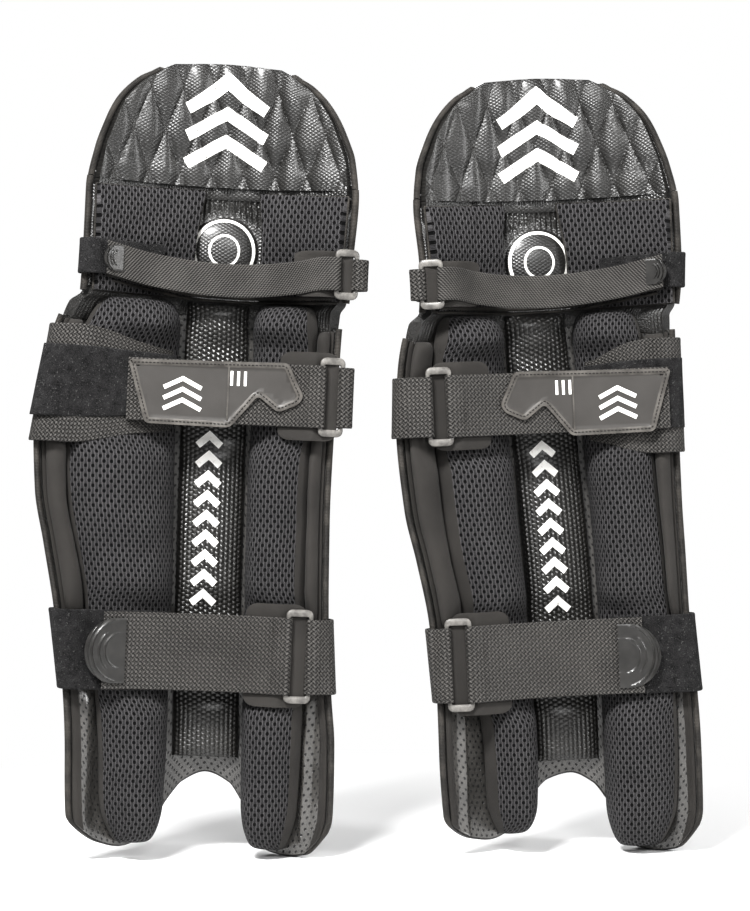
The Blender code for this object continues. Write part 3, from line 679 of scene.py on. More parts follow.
def mesh_knit():
    """Spacer mesh: eyelets in staggered rows, each in a raised ring of yarn; the eyelets carry painted shade
    and the rings a painted highlight.
    """
    f = Finish("mesh_knit")
    away = f.lattice(0.0070, 0.0047, 0.00185, 0.00245)
    shaded_hole = away.ramp(1.05, 0.60)
    ring = away.ramp(1.70, 1.15) * (shaded_hole * -1 + 1)
    yarn = f.u.wave(0.0013) * (f.v + f.u * 0.5).wave(0.0015) * 0.5 + 0.5
    wear = f.noise(34, 4)
    # painted highlight: the ring round each eyelet is coloured lighter
    share = ring * 0.55 + yarn * 0.30 + wear * 0.35 - 0.12
    light = f.colour((0.015, 0.0148, 0.0158), (0.142, 0.137, 0.140), share)
    # painted shade: each eyelet is coloured near-black, as shade inside a hole
    shade = f.colour(light, (0.0010, 0.0010, 0.0012), shaded_hole)
    height = ring * 0.6 + yarn * 0.2 - shaded_hole * 1.0
    return f.done(shade, wear * 0.2 + 0.60, height, 0.0018, sheen=0.03, specular=0.22)


def nylon():
    """Ballistic nylon: a coarse plain weave set on the diagonal, with a dry shine."""
    f = Finish("nylon")
    weave = f.weave(0.0027, turned=True)
    dash = (f.u - f.v).wave(0.0056) * 0.5 + 0.5
    wear = f.noise(26, 4)
    fine = f.noise(800, 2)
    # painted light and shade: the weave's raised threads are coloured lighter and the gaps between them
    # darker
    share = weave * 0.95 + dash * 0.30 + wear * 0.35 + fine * 0.15 - 0.62
    shade = f.colour((0.0030, 0.0029, 0.0028), (0.135, 0.128, 0.120), share)
    return f.done(shade, wear * 0.16 + 0.46, weave + fine * 0.2, 0.0011, sheen=0.02, specular=0.32)


def twill():
    """Fine twill webbing: narrow diagonal ribs."""
    f = Finish("twill")
    rib = (f.u + f.v * 0.8).wave(0.0030) * 0.5 + 0.5
    cross = f.v.wave(0.0018) * 0.5 + 0.5
    wear = f.noise(30, 4)
    # painted light and shade: the ribs' crowns are coloured lighter and the grooves between them darker
    share = rib * 0.55 + cross * 0.25 + wear * 0.45 - 0.28
    shade = f.colour((0.0065, 0.0062, 0.0058), (0.165, 0.157, 0.147), share)
    return f.done(shade, wear * 0.16 + 0.52, rib * 0.7 + cross * 0.4, 0.0008, sheen=0.04, specular=0.32)


def loop_pile():
    """Hook-and-loop pile: a dense, dark, uneven nap with a few pale fibres."""
    f = Finish("loop_pile")
    nap = f.noise(900, 3, 0.75)
    patches = f.noise(120, 4)
    lint = f.noise(520, 2).ramp(0.62, 0.70)
    dark = f.colour((0.006, 0.006, 0.0062), (0.085, 0.083, 0.084), nap * 1.3 + patches * 0.8 - 0.70)
    shade = f.colour(dark, (0.26, 0.255, 0.25), lint * 0.35)
    return f.done(shade, 0.95, nap + patches * 0.5, 0.0022, sheen=0.06, specular=0.08)


# The paler coated colour marks wear and also a painted highlight on raised relief.
COATED_DARK = (0.0045, 0.0043, 0.0041)
COATED_LIGHT = (0.038, 0.036, 0.033)


def coated(height, depth, f, dark=COATED_DARK, light=COATED_LIGHT, rough=0.34, coat=0.15):
    """Semi-gloss coated cloth over a given relief."""
    grain = f.noise(1100, 3)
    wear = f.noise(26, 4)
    # painted light and shade: raised relief is coloured lighter and its hollows darker, on top of the wear
    shade = f.colour(dark, light, height * 0.55 + wear * 0.6 - 0.12)
    rough = wear * 0.20 + grain * 0.08 + rough - 0.1
    return f.done(shade, rough, height + grain * 0.12, depth, specular=0.8, coat=coat)


def quilted_facing():
    f = Finish("quilted_facing")
    relief = f.lozenge(0.0058, 0.0036).power(0.7)
    return coated(relief, 0.00042, f, dark=(0.006, 0.0058, 0.0055), rough=0.38, coat=0.35)


def braided_facing():
    f = Finish("braided_facing")
    twist = (f.u / 0.0046).floor() * 0.5
    strand = ((f.v / 0.0048 + twist).part() - 0.5).size() * -2 + 1
    column = ((f.u / 0.0046).part() - 0.5).size() * -2 + 1
    relief = (strand * column).power(0.6)
    return coated(relief, 0.0013, f, light=(0.058, 0.055, 0.050), rough=0.30, coat=0.3)


def perforated_facing():
    """Glossy coated cloth with small round holes in staggered rows."""
    f = Finish("perforated_facing")
    away = f.lattice(0.0070, 0.0050, 0.0012, 0.0012)
    shaded_hole = away.ramp(1.15, 0.75)
    grain = f.noise(500, 3)
    wear = f.noise(24, 4)
    base = f.colour((0.036, 0.035, 0.033), (0.130, 0.124, 0.116), wear * 1.2 + grain * 0.3 - 0.3)
    # painted shade: each hole is coloured near-black
    shade = f.colour(base, (0.0008, 0.0008, 0.0008), shaded_hole)
    return f.done(shade, wear * 0.14 + 0.14 + shaded_hole * 0.6, grain * 0.08 - shaded_hole, 0.0010, specular=0.8, coat=0.5)


def plain_facing():
    """The front's coated cloth, with a fine pebbled grain."""
    f = Finish("plain_facing")
    return coated(f.noise(620, 2).ramp(0.35, 0.65), 0.0003, f, rough=0.40)


def stretch_cloth():
    f = Finish("stretch_cloth")
    knit = f.u.wave(0.0014) * f.v.wave(0.0014) * 0.5 + 0.5
    wear = f.noise(20, 4)
    shade = f.colour((0.022, 0.0205, 0.019), (0.068, 0.063, 0.058), wear * 0.9 + knit * 0.3 - 0.15)
    return f.done(shade, wear * 0.15 + 0.62, knit, 0.0003, sheen=0.08, specular=0.28)


def binding_cloth():
    """Woven edge binding, rubbed paler in patches."""
    f = Finish("binding_cloth")
    rib = f.u.wave(0.0014) * 0.5 + 0.5
    wear = f.noise(60, 5)
    shade = f.colour((0.012, 0.011, 0.010), (0.085, 0.077, 0.068), rib * 0.3 + wear.ramp(0.35, 0.75) * 0.6)
    return f.done(shade, wear * 0.2 + 0.50, rib + wear * 0.3, 0.0003, sheen=0.08, specular=0.35)


def moulded_rubber():
    f = Finish("moulded_rubber")
    grain = f.noise(1300, 2)
    wear = f.noise(30, 5)
    shade = f.colour((0.042, 0.039, 0.036), (0.082, 0.077, 0.072), wear * 0.9)
    return f.done(shade, wear * 0.22 + 0.36, grain + wear * 0.4, 0.00012, specular=0.45)


def border_rubber():
    """The badge's raised rim, paler where it is rubbed."""
    f = Finish("border_rubber")
    grain = f.noise(1000, 2)
    wear = f.noise(70, 5)
    shade = f.colour((0.060, 0.055, 0.050), (0.135, 0.126, 0.115), wear.ramp(0.3, 0.8))
    return f.done(shade, wear * 0.25 + 0.32, grain, 0.0001, specular=0.5)


def gloss_rubber():
    f = Finish("gloss_rubber")
    grain = f.noise(900, 2)
    wear = f.noise(80, 4)
    shade = f.colour((0.014, 0.0135, 0.013), (0.050, 0.048, 0.045), wear)
    return f.done(shade, wear * 0.18 + 0.28, grain, 0.00008, specular=0.6, coat=0.15)


def ring_plastic():
    f = Finish("ring_plastic")
    grain = f.noise(800, 2)
    scuff = f.noise(120, 6, 0.7)
    shade = f.colour((0.105, 0.100, 0.094), (0.235, 0.225, 0.210), scuff.ramp(0.3, 0.75))
    return f.done(shade, scuff * 0.3 + 0.26, grain + scuff, 0.0001, specular=0.55)


def white_ink():
    """Screen-printed ink, slightly cracked and rubbed."""
    f = Finish("white_ink")
    crack = f.noise(420, 5, 0.7)
    wear = f.noise(36, 4)
    share = crack.ramp(0.56, 0.68) * 0.6 + wear.ramp(0.5, 0.8) * 0.35
    shade = f.colour((0.92, 0.91, 0.88), (0.55, 0.53, 0.50), share)
    return f.done(shade, wear * 0.15 + 0.42, crack, 0.00015, specular=0.4)


def thread():
    f = Finish("thread")
    twist = f.noise(1600, 2)
    shade = f.colour((0.010, 0.0095, 0.009), (0.050, 0.047, 0.043), twist)
    return f.done(shade, 0.6, twist, 0.0001, sheen=0.1, specular=0.3)


MATERIALS = {
    make.__name__: make()
    for make in (
        mesh_knit,
        nylon,
        twill,
        loop_pile,
        quilted_facing,
        braided_facing,
        perforated_facing,
        plain_facing,
        stretch_cloth,
        binding_cloth,
        moulded_rubber,
        border_rubber,
        gloss_rubber,
        ring_plastic,
        white_ink,
        thread,
    )
}

# ---------------------------------------------------------------- front shells


def canes(u):
    """Rounded ribs side by side: 1 on each rib's crown, 0 in the stitched valley."""
    off = u / RIB_PITCH - np.round(u / RIB_PITCH)
    return np.sqrt(np.clip(1 - (2 * off) ** 2, 0, 1)) * (1 - smooth(np.abs(u), 0.63, 0.68))


def front(u, z, low, high, depth=1.0):
    """How far the front face stands from the seam, with the ribs rounded off towards both ends."""
    flank = SHELL_EDGE + (SHELL_VALLEY - SHELL_EDGE) * np.clip((1 - np.abs(u)) / 0.35, 0, 1)
    end = dome(np.clip(np.minimum(z - low, high - z) / 0.024, 0, 1) / 2)
    swell = (SHELL_RIB - SHELL_VALLEY) * canes(u)
    return -(0.0035 + (flank - 0.0035) * (0.35 + 0.65 * end) + swell * end) * depth


def shin_top_edge(u):
    return SHIN_TOP - 0.016 * u**2


def knee_bottom_edge(u):
    return KNEE_BOTTOM + 0.007 * u**2


def surface_grid(columns, bottom, top, rows):
    """u and z over a panel whose lower and upper edges are functions of u."""
    u = np.broadcast_to(columns[None], (len(rows), len(columns)))
    return u, bottom(u) + (top(u) - bottom(u)) * rows[:, None]


def shin_shell(seed):
    u, z = surface_grid(np.linspace(-1, 1, 209), foot_edge, shin_top_edge, eased(150, 0.8))
    face = front(u, z, foot_edge(u), shin_top_edge(u)) + 0.0006 * ripple(u * 0.13, z, 0.05, seed)
    return slab(seam(u, z, face), seam(u, z, 0.0))


def top_shell(seed):
    rows = 1 - (1 - np.linspace(0, 1, 64)) ** 1.7
    u, z = surface_grid(np.linspace(-1, 1, 181), lambda u: TOP_BOTTOM + 0 * u, lambda u: HEIGHT + 0 * u, rows)
    face = front(u, z, TOP_BOTTOM - 0.01, HEIGHT, 0.8) + 0.0006 * ripple(u * 0.13, z, 0.05, seed + 1)
    return slab(seam(u, z, face), seam(u, z, 0.0))


def knee_roll(low, high, seed):
    """A padded roll across the front of the knee, gathered a little at its seams."""
    rows = (1 - np.cos(np.linspace(0, np.pi, 25))) / 2
    u, z = np.meshgrid(np.linspace(-0.9, 0.9, 161), low + (high - low) * rows)
    share = (z - low) / (high - low)
    end = dome(np.clip((0.9 - np.abs(u)) / 0.1, 0, 1) / 2)
    pucker = 0.0007 * np.sin(u * 92 + 2 * ripple(u, z, 0.3, seed)) * (1 - dome(share))
    pucker = pucker + 0.0005 * ripple(u * 0.13, z, 0.03, seed)
    thick = 0.003 + (0.021 - 0.010 * u * u) * dome(share, 2.0) * (0.25 + 0.75 * end) + pucker
    return slab(seam(u, z, -0.004 - GAP - thick), seam(u, z, -0.004 - GAP))


# ---------------------------------------------------------------- leg side: linings and the quilt


def shin_lining(seed):
    """Perforated facing with a plain border, swelling where the wings turn up beside the bolsters."""
    columns = np.linspace(-0.985, 0.985, 181)
    rows = eased(140, 0.8)
    u, z = surface_grid(columns, lambda u: foot_edge(u) + 0.002, lambda u: shin_top_edge(u) - 0.003, rows)
    low_part = 1 - smooth(z, 0.14, 0.17)
    x = u * half_width(u, z)
    crease = bump(x, 0.1065, 0.0055) * smooth(z, 0.008, 0.03) * 0.0046
    swell = bump(x, -0.111, 0.012) * smooth(z, 0.01, 0.05) * 0.0034
    sag = 0.0009 * ripple(x, z, 0.035, seed)
    thick = LINING + (crease + swell + sag) * low_part
    edge = dome(np.clip((0.985 - np.abs(u)) / 0.03, 0, 1) / 2)
    thick = 0.0006 + thick * (0.2 + 0.8 * edge)
    slots = (np.abs(u[:-1, :-1] + u[1:, 1:]) / 2 > 0.945).astype(int)
    return slab(seam(u, z, GAP), seam(u, z, GAP + thick), slots)


QUILT_PITCH = 0.032
QUILT_LEAN = 0.40
QUILT_CROSS = (0.004, 0.703)


def quilt_height(x, z):
    """The top's padding above the seam surface: tall lozenges between crossing seams."""
    u = x / half_width(x, z)
    rim = dome(0.02 + 0.96 * (u / 0.97 + 1) / 2, 2.8)
    crown = dome(np.clip((HEIGHT - z) / 0.030, 0, 1) / 2)
    lean = QUILT_LEAN * (z - QUILT_CROSS[1])
    a = (x - QUILT_CROSS[0] - lean) / QUILT_PITCH
    b = (x - QUILT_CROSS[0] + lean) / QUILT_PITCH
    pillow = (np.abs(np.sin(np.pi * a)) * np.abs(np.sin(np.pi * b))) ** 0.55
    soft = 0.0009 * ripple(x, z, 0.021, 3.0)
    return GAP + 0.0015 + (0.0120 + soft) * rim * (0.25 + 0.75 * crown) - 0.0058 * (1 - pillow) * rim * crown


def quilt_stitches():
    """The crossing seams of the quilting."""
    shapes = []
    for way in (-1, 1):
        for k in range(-5, 6):
            z = np.linspace(0.654, 0.757, 120)
            x = QUILT_CROSS[0] + QUILT_PITCH * k + way * QUILT_LEAN * (z - QUILT_CROSS[1])
            inside = np.abs(x) < half_width(x, z) * 0.93
            if inside.sum() < 8:
                continue
            x, z = x[inside], z[inside]
            line = on_quilt(x, z, 0.0)
            off = unit(on_quilt(x, z, 0.001) - line)
            shapes.append(stitches(line, off, pitch=0.0036, length=0.0030, thread=0.0005))
    return joined(shapes)


def top_lining():
    rows = 1 - (1 - np.linspace(0, 1, 116)) ** 1.5
    columns = np.linspace(-0.97, 0.97, 231)
    u, z = surface_grid(columns, lambda u: 0.6495 + 0 * u, lambda u: HEIGHT - 0.0008 + 0 * u, rows)
    height = quilt_height(u * half_width(u, z), z)
    return slab(seam(u, z, GAP * 0.5), seam(u, z, np.maximum(height, GAP + 0.0004)))


CUP_MIDDLE, CUP_RADIUS = (0.004, 0.588), 0.034


def cup_height(x, z):
    """The knee's centre: a shallow dome in a ruched surround."""
    away = np.hypot(x - CUP_MIDDLE[0], z - CUP_MIDDLE[1]) / CUP_RADIUS
    crown = 0.0105 * np.clip(1 - away**2.4, 0, 1) ** 0.8
    outside = smooth(away, 0.95, 1.25)
    ruche = 0.0011 * np.sin(x * 1150 + 2.2 * ripple(x, z, 0.04, 2.0)) * outside * smooth(z, 0.60, 0.625)
    folds = 0.0008 * ripple(x * 3, z, 0.02, 5.0) * outside
    return 0.0042 + crown + ruche + folds


def knee_cup_panel():
    columns = np.linspace(-0.99, 0.99, 241)
    u, z = surface_grid(columns, knee_bottom_edge, lambda u: KNEE_TOP + 0 * u, np.linspace(0, 1, 105))
    height = cup_height(u * half_width(u, z), z)
    end = dome(np.clip((0.99 - np.abs(u)) / 0.05, 0, 1) / 2)
    return slab(seam(u, z, -0.004), seam(u, z, -0.002 + (height + 0.002) * (0.3 + 0.7 * end)))


def bridge(low, high, depth, seed):
    """Gathered cloth between two sections."""
    u, z = surface_grid(np.linspace(-0.965, 0.965, 301), low, high, np.linspace(0, 1, 17))
    share = (z - low(u)) / (high(u) - low(u))
    pleat = np.sin(u * 290 + 5 * ripple(u, z, 0.2, seed)) * (0.5 + 0.5 * ripple(u, z * 0, 0.13, seed))
    bulge = dome(0.06 + 0.88 * share)
    thick = depth * (0.45 + 0.55 * bulge) + 0.0006 * pleat * bulge
    front_face = -0.0055 - 0.004 * bulge + 0.0008 * pleat * bulge
    return slab(seam(u, z, front_face), seam(u, z, thick))


# ---------------------------------------------------------------- bolsters and rolls

SHIN_BOLSTER_LEFT = (
    (0.094, -0.026, 0.040),
    (0.240, -0.029, 0.036),
    (0.400, -0.031, 0.034),
    (0.5365, -0.030, 0.031),
)
SHIN_BOLSTER_RIGHT = (
    (0.094, -0.037, 0.027),
    (0.240, -0.037, 0.030),
    (0.400, -0.029, 0.037),
    (0.5365, -0.020, 0.042),
)
CALF_OUTER_LEFT = (
    (0.010, -0.087, -0.043),
    (0.050, -0.099, -0.035),
    (0.110, -0.103, -0.034),
    (0.240, -0.121, -0.034),
    (0.380, -0.146, -0.037),
    (0.450, -0.146, -0.038),
    (0.5365, -0.124, -0.036),
)
CALF_OUTER_RIGHT = (
    (0.007, -0.101, -0.050),
    (0.050, -0.112, -0.043),
    (0.110, -0.114, -0.042),
    (0.240, -0.111, -0.042),
    (0.330, -0.107, -0.039),
    (0.450, -0.100, -0.031),
    (0.5365, -0.095, -0.026),
)
CALF_INNER_LEFT = (
    (0.007, 0.056, 0.096),
    (0.050, 0.047, 0.1025),
    (0.110, 0.045, 0.1035),
    (0.240, 0.042, 0.102),
    (0.380, 0.040, 0.101),
    (0.450, 0.040, 0.101),
    (0.5365, 0.037, 0.104),
)
CALF_INNER_RIGHT = (
    (0.026, 0.042, 0.076),
    (0.060, 0.033, 0.085),
    (0.110, 0.031, 0.087),
    (0.240, 0.035, 0.104),
    (0.330, 0.041, 0.120),
    (0.450, 0.046, 0.126),
    (0.5365, 0.048, 0.120),
)
# Where the straps flatten the bolsters: the middle's height, and the reach of the flat and of its slopes
STRAP_PRESS = ((0.4490, 0.042, 0.066), (0.199, 0.040, 0.064))
STRAP_DEPTH = 0.37  # how much of its fullness a bolster loses under a strap


def pressed(z):
    """How much the straps flatten a bolster under them: 1 away from them."""
    shares = (1 - smooth(np.abs(z - middle), flat, reach) for middle, flat, reach in STRAP_PRESS)
    return 1 - sum(STRAP_DEPTH * share for share in shares)


def bolster_height(s, z, stations, height, end):
    bottom, top = stations[0][0], stations[-1][0]
    near = np.clip(np.minimum(z - bottom, top - z) / end, 0, 1)
    return (0.12 + 0.88 * dome(near / 2, 2.4)) * dome(s, 2.1) * height * pressed(z)


def bolster(stations, height, end, seed, rise=0.006, columns=57, rows=130, slots=None):
    """A stuffed tube lying on the lining, its sides tucked under and its ends rounded."""
    bottom, top = stations[0][0], stations[-1][0]
    left, right = (track([(row[0], row[k]) for row in stations]) for k in (1, 2))
    s = (1 - np.cos(np.linspace(0.02, np.pi - 0.02, columns))) / 2
    s, z = np.meshgrid(s, bottom + (top - bottom) * eased(rows, 0.9))
    near = np.clip(np.minimum(z - bottom, top - z) / end, 0, 1)
    narrow = 0.62 + 0.38 * dome(near / 2, 2.1)
    middle, half = (left(z) + right(z)) / 2, (right(z) - left(z)) / 2 * narrow
    x = middle + (2 * s - 1) * half
    crown = bolster_height(s, z, stations, height - rise - ON_LINING + 0.0049, end)
    soft = 1 + 0.05 * ripple(x, z, 0.045, seed) + 0.03 * ripple(x, z, 0.018, seed + 2)
    tuck = rise * (0.3 + 0.7 * dome(near / 2))
    high = ON_LINING + tuck + crown * soft
    low = ON_LINING + tuck * (1 - dome(s, 3.0))
    cells = None if slots is None else slots(s)
    return slab(across(x, z, low), across(x, z, high), cells)


def calf_bolster(stations, seam_side, seed):
    """A mesh bolster with a plain seam strip down one side."""

    def slots(s):
        middle = (s[:-1, :-1] + s[1:, 1:]) / 2
        return (middle > 0.972).astype(int) if seam_side > 0 else (middle < 0.004).astype(int)

    return bolster(stations, 0.046, 0.034, seed, slots=slots)


def side_roll(inner, seed):
    """The soft roll along the wing's edge, between the calf bolster and the rim."""
    edges = CALF_INNER if inner else CALF_OUTER
    near = track([(row[0], abs(row[2 if inner else 1])) for row in edges])
    side = 1 if inner else -1
    stations = []
    for z in (0.232, 0.270, 0.300, 0.350, 0.425, 0.480, 0.512):
        start, stop = float(near(z)) + 0.0006, float(half_width(side, z)) * 0.985
        edge = (side * start, side * stop)
        stations.append((z, min(edge), max(edge)))
    return bolster(stations, 0.0125, 0.016, seed, rise=0.003, columns=31, rows=90)


def shin_bolster_height(x, z):
    left, right = (track([(row[0], row[k]) for row in SHIN_BOLSTER]) for k in (1, 2))
    s = (x - left(z)) / (right(z) - left(z))
    return ON_LINING + 0.0018 + bolster_height(s, z, SHIN_BOLSTER, 0.0125, 0.014)


def shin_bolster():
    bottom, top = SHIN_BOLSTER[0][0], SHIN_BOLSTER[-1][0]
    left, right = (track([(row[0], row[k]) for row in SHIN_BOLSTER]) for k in (1, 2))
    s = (1 - np.cos(np.linspace(0.02, np.pi - 0.02, 61))) / 2
    s, z = np.meshgrid(s, bottom + (top - bottom) * eased(150, 0.9))
    x = left(z) + (right(z) - left(z)) * s
    return slab(across(x, z, ON_LINING), across(x, z, shin_bolster_height(x, z)))


# ---------------------------------------------------------------- knee wings


def wing_edge(points):
    return track(points)


OUTER_WING = (
    wing_edge([(0.54, -0.1255), (0.645, -0.1265)]),
    wing_edge([(0.54, -0.028), (0.59, -0.026), (0.645, -0.017)]),
)
INNER_WING = (
    wing_edge([(0.54, 0.0415), (0.60, 0.0425), (0.645, 0.0385)]),
    wing_edge([(0.54, 0.1205), (0.645, 0.1250)]),
)
WING_BOTTOM, WING_TOP = 0.5410, 0.6455


def wing_seat(x, z):
    return np.maximum(cup_height(x, z), 0.0052) + 0.0008


def wing_grid(edges, s, t):
    left, right = edges
    z = WING_BOTTOM + (WING_TOP - WING_BOTTOM) * t
    x = left(z) + (right(z) - left(z)) * s
    lift = 0.0030 * t * np.clip((np.abs(x) / 0.12) ** 2, 0, 1)
    return x, z - lift


def knee_wing(edges, seed):
    """A padded flap of mesh over the knee panel."""
    s, t = np.meshgrid(eased(72, 0.7), eased(60, 0.7))
    x, z = wing_grid(edges, s, t)
    seat = wing_seat(x, z)
    pad = dome(0.03 + 0.94 * s, 2.8) * dome(0.03 + 0.94 * t, 2.8)
    slump = 1 + 0.12 * ripple(x, z, 0.05, seed) + 0.05 * ripple(x, z, 0.02, seed + 1)
    slump = slump - 0.42 * bump(z, 0.566, 0.034)
    thick = 0.0022 + 0.0135 * pad * slump
    return slab(across(x, z, seat), across(x, z, seat + thick))


def wing_binding(edges):
    """The bound edge round a wing."""
    shares = np.linspace(0.004, 0.996, 40)
    s = np.concatenate((shares, 0 * shares + 1, shares[::-1], 0 * shares))
    t = np.concatenate((0 * shares, shares, 0 * shares + 1, shares[::-1]))
    x, z = wing_grid(edges, s, t)
    return tube(across(x, z, wing_seat(x, z) + 0.0014), 0.0014, 8, closed=True)


# ---------------------------------------------------------------- straps, rings and their webbing

KNEE_STRAP, CALF_STRAP, ANKLE_STRAP = (0.5500, 0.5820), (0.4185, 0.4785), (0.1620, 0.2360)
KNEE_BARS = ((0.110, -0.0740), (0.129, -0.0700))
CALF_BARS_LEFT, CALF_BARS_RIGHT = ((0.101, -0.0640), (0.121, -0.0600)), ((0.106, -0.0690), (0.127, -0.0700))
ANKLE_BARS_LEFT, ANKLE_BARS_RIGHT = ((0.079, -0.0620), (0.101, -0.0600)), ((0.096, -0.0625), (0.118, -0.0610))
# How a ring's webbing leaves its bar, as distances from the bar
ANCHOR_RISE = ((0.006, -0.0035), (0.010, -0.0010))
CALF_RISE_RIGHT = ((0.006, -0.0040), (0.014, -0.0050), (0.025, -0.0045))
LOOP = ROD + 0.0006 + WEB / 2
KNEE_PATH = (
    (0.098, -0.0745),
    (0.075, -0.0600),
    (0.040, -0.0470),
    (0.000, -0.0420),
    (-0.040, -0.0440),
    (-0.075, -0.0500),
    (-0.098, -0.0600),
    (-0.108, -0.0655),
)
KNEE_SAG = (0.0,) * 8 + (0.000, 0.004, 0.008, 0.009, 0.006, 0.001, -0.004, -0.006)
CALF_PATH_LEFT = (
    (0.093, -0.0665),
    (0.080, -0.0625),
    (0.064, -0.0580),
    (0.040, -0.0555),
    (0.000, -0.0545),
    (-0.040, -0.0550),
    (-0.066, -0.0560),
    (-0.084, -0.0570),
)
CALF_PATH_RIGHT = (
    (0.098, -0.0710),
    (0.084, -0.0665),
    (0.064, -0.0605),
    (0.040, -0.0570),
    (0.000, -0.0555),
    (-0.040, -0.0560),
    (-0.080, -0.0585),
    (-0.110, -0.0625),
)
ANKLE_PATH_LEFT = (
    (0.071, -0.0635),
    (0.055, -0.0590),
    (0.030, -0.0530),
    (0.000, -0.0510),
    (-0.030, -0.0510),
    (-0.060, -0.0550),
    (-0.078, -0.0605),
    (-0.096, -0.0680),
)
ANKLE_PATH_RIGHT = (
    (0.088, -0.0650),
    (0.072, -0.0610),
    (0.048, -0.0560),
    (0.016, -0.0525),
    (-0.014, -0.0520),
    (-0.042, -0.0545),
    (-0.058, -0.0570),
    (-0.074, -0.0600),
)
KNEE_BASE = ((-0.060, 0.0200), (-0.085, 0.0200), (-0.110, 0.0195), (-0.122, 0.0175))
CALF_BASE_LEFT = ((-0.046, 0.0260), (-0.062, 0.0345), (-0.094, 0.0375), (-0.124, 0.0345), (-0.146, 0.0255))
CALF_BASE_RIGHT = ((-0.040, 0.0320), (-0.052, 0.0368), (-0.068, 0.0380), (-0.088, 0.0345), (-0.106, 0.0225))
ANKLE_BASE_LEFT = ((-0.062, 0.0365), (-0.082, 0.0375), (-0.104, 0.0335), (-0.121, 0.0215))
ANKLE_BASE_RIGHT = ((-0.058, 0.0368), (-0.078, 0.0378), (-0.098, 0.0360), (-0.115, 0.0225))
KNEE_BASE_SPANS = ((0.5560, 0.5900),) * 4
CALF_BASE_SPANS = ((0.4100, 0.4870), (0.4080, 0.4890), (0.4050, 0.4950), (0.3990, 0.5030), (0.3950, 0.5070))
ANKLE_BASE_SPANS = ((0.1610, 0.2370),) * 4
CALF_PILE_SPANS = ((0.4250, 0.4830), (0.4240, 0.4835), (0.4225, 0.4845), (0.4205, 0.4860), (0.4190, 0.4870))
SHELL_WRAP = (
    (0.0160, 0.0020),
    (0.0090, 0.0055),
    (0.0000, 0.0065),
    (-0.0080, 0.0030),
    (-0.0098, -0.0060),
    (-0.0105, -0.0160),
)
KNEE_WRAP = (
    (0.0160, 0.0020),
    (0.0090, 0.0050),
    (0.0000, 0.0055),
    (-0.0050, 0.0025),
    (-0.0062, -0.0030),
    (-0.0062, -0.0090),
)


ANKLE_TAB_LEFT = ((-0.0850, -0.0635), (-18, -7.5))  # its centre, and the strap's direction there
ANKLE_TAB_RIGHT = ((-0.0600, -0.0575), (-16, -3.0))


def lay_out(side):
    """Takes up the tables of one guard."""
    global outer_width, inner_width, outer_curl, inner_curl, foot, SHIN_BOLSTER, CALF_OUTER, CALF_INNER
    global CALF_BARS, CALF_RISE, ANKLE_BARS, CALF_PATH, ANKLE_PATH
    global CALF_BASE, ANKLE_BASE, ANKLE_TAB, BADGE_SHIFT
    left = side == "left"
    outline, curl = (OUTLINE_LEFT, CURL_LEFT) if left else (OUTLINE_RIGHT, CURL_RIGHT)
    outer_width, inner_width = (track([(row[0], row[k]) for row in outline]) for k in (1, 2))
    outer_curl, inner_curl = (track([(row[0], row[k]) for row in curl]) for k in (1, 2))
    foot = track(FOOT_LEFT if left else FOOT_RIGHT)
    SHIN_BOLSTER = SHIN_BOLSTER_LEFT if left else SHIN_BOLSTER_RIGHT
    CALF_OUTER = CALF_OUTER_LEFT if left else CALF_OUTER_RIGHT
    CALF_INNER = CALF_INNER_LEFT if left else CALF_INNER_RIGHT
    CALF_BARS, ANKLE_BARS = (CALF_BARS_LEFT, ANKLE_BARS_LEFT) if left else (CALF_BARS_RIGHT, ANKLE_BARS_RIGHT)
    CALF_RISE = ANCHOR_RISE if left else CALF_RISE_RIGHT
    CALF_PATH, ANKLE_PATH = (CALF_PATH_LEFT, ANKLE_PATH_LEFT) if left else (CALF_PATH_RIGHT, ANKLE_PATH_RIGHT)
    CALF_BASE, ANKLE_BASE = (CALF_BASE_LEFT, ANKLE_BASE_LEFT) if left else (CALF_BASE_RIGHT, ANKLE_BASE_RIGHT)
    ANKLE_TAB = ANKLE_TAB_LEFT if left else ANKLE_TAB_RIGHT
    BADGE_SHIFT = 0.0 if left else -0.028


def edge_wrap(z, wrap, side):
    """Points going round a wing's edge, from the leg side to the front."""
    width = float(half_width(side, z))
    return [seam(side * (1 + reach / width), z, n) for n, reach in wrap]


def base_edges(path, spans, wrap):
    """The two long edges of a strap base: over the bolster, round the wing's edge and onto its front."""
    edges = []
    for k in (0, 1):
        row = [across(x, span[k], n) for (x, n), span in zip(path, spans)]
        edges.append(row + edge_wrap(spans[-1][k], wrap, -1))
    return edges


def anchor_edges(bars, strap, rise, wrap):
    """The webbing that holds a ring: round its bar, then round the inner edge onto the front."""
    x, y = bars[1]
    flat = [(x + 0.005, y + LOOP)] + arc((x, y), LOOP, 90, 270, 6) + [(x + dx, y + dy) for dx, dy in rise]
    edges = []
    for z in (strap[0] + 0.001, strap[1] - 0.001):
        edges.append([np.array((px, py, z)) for px, py in flat] + edge_wrap(z, wrap[2:], 1))
    return edges


def strap_path(bars, path, tail=0.018):
    x, y = bars[0]
    return [(x - tail, y + LOOP)] + arc((x, y), LOOP, 90, -90, 6) + list(path)


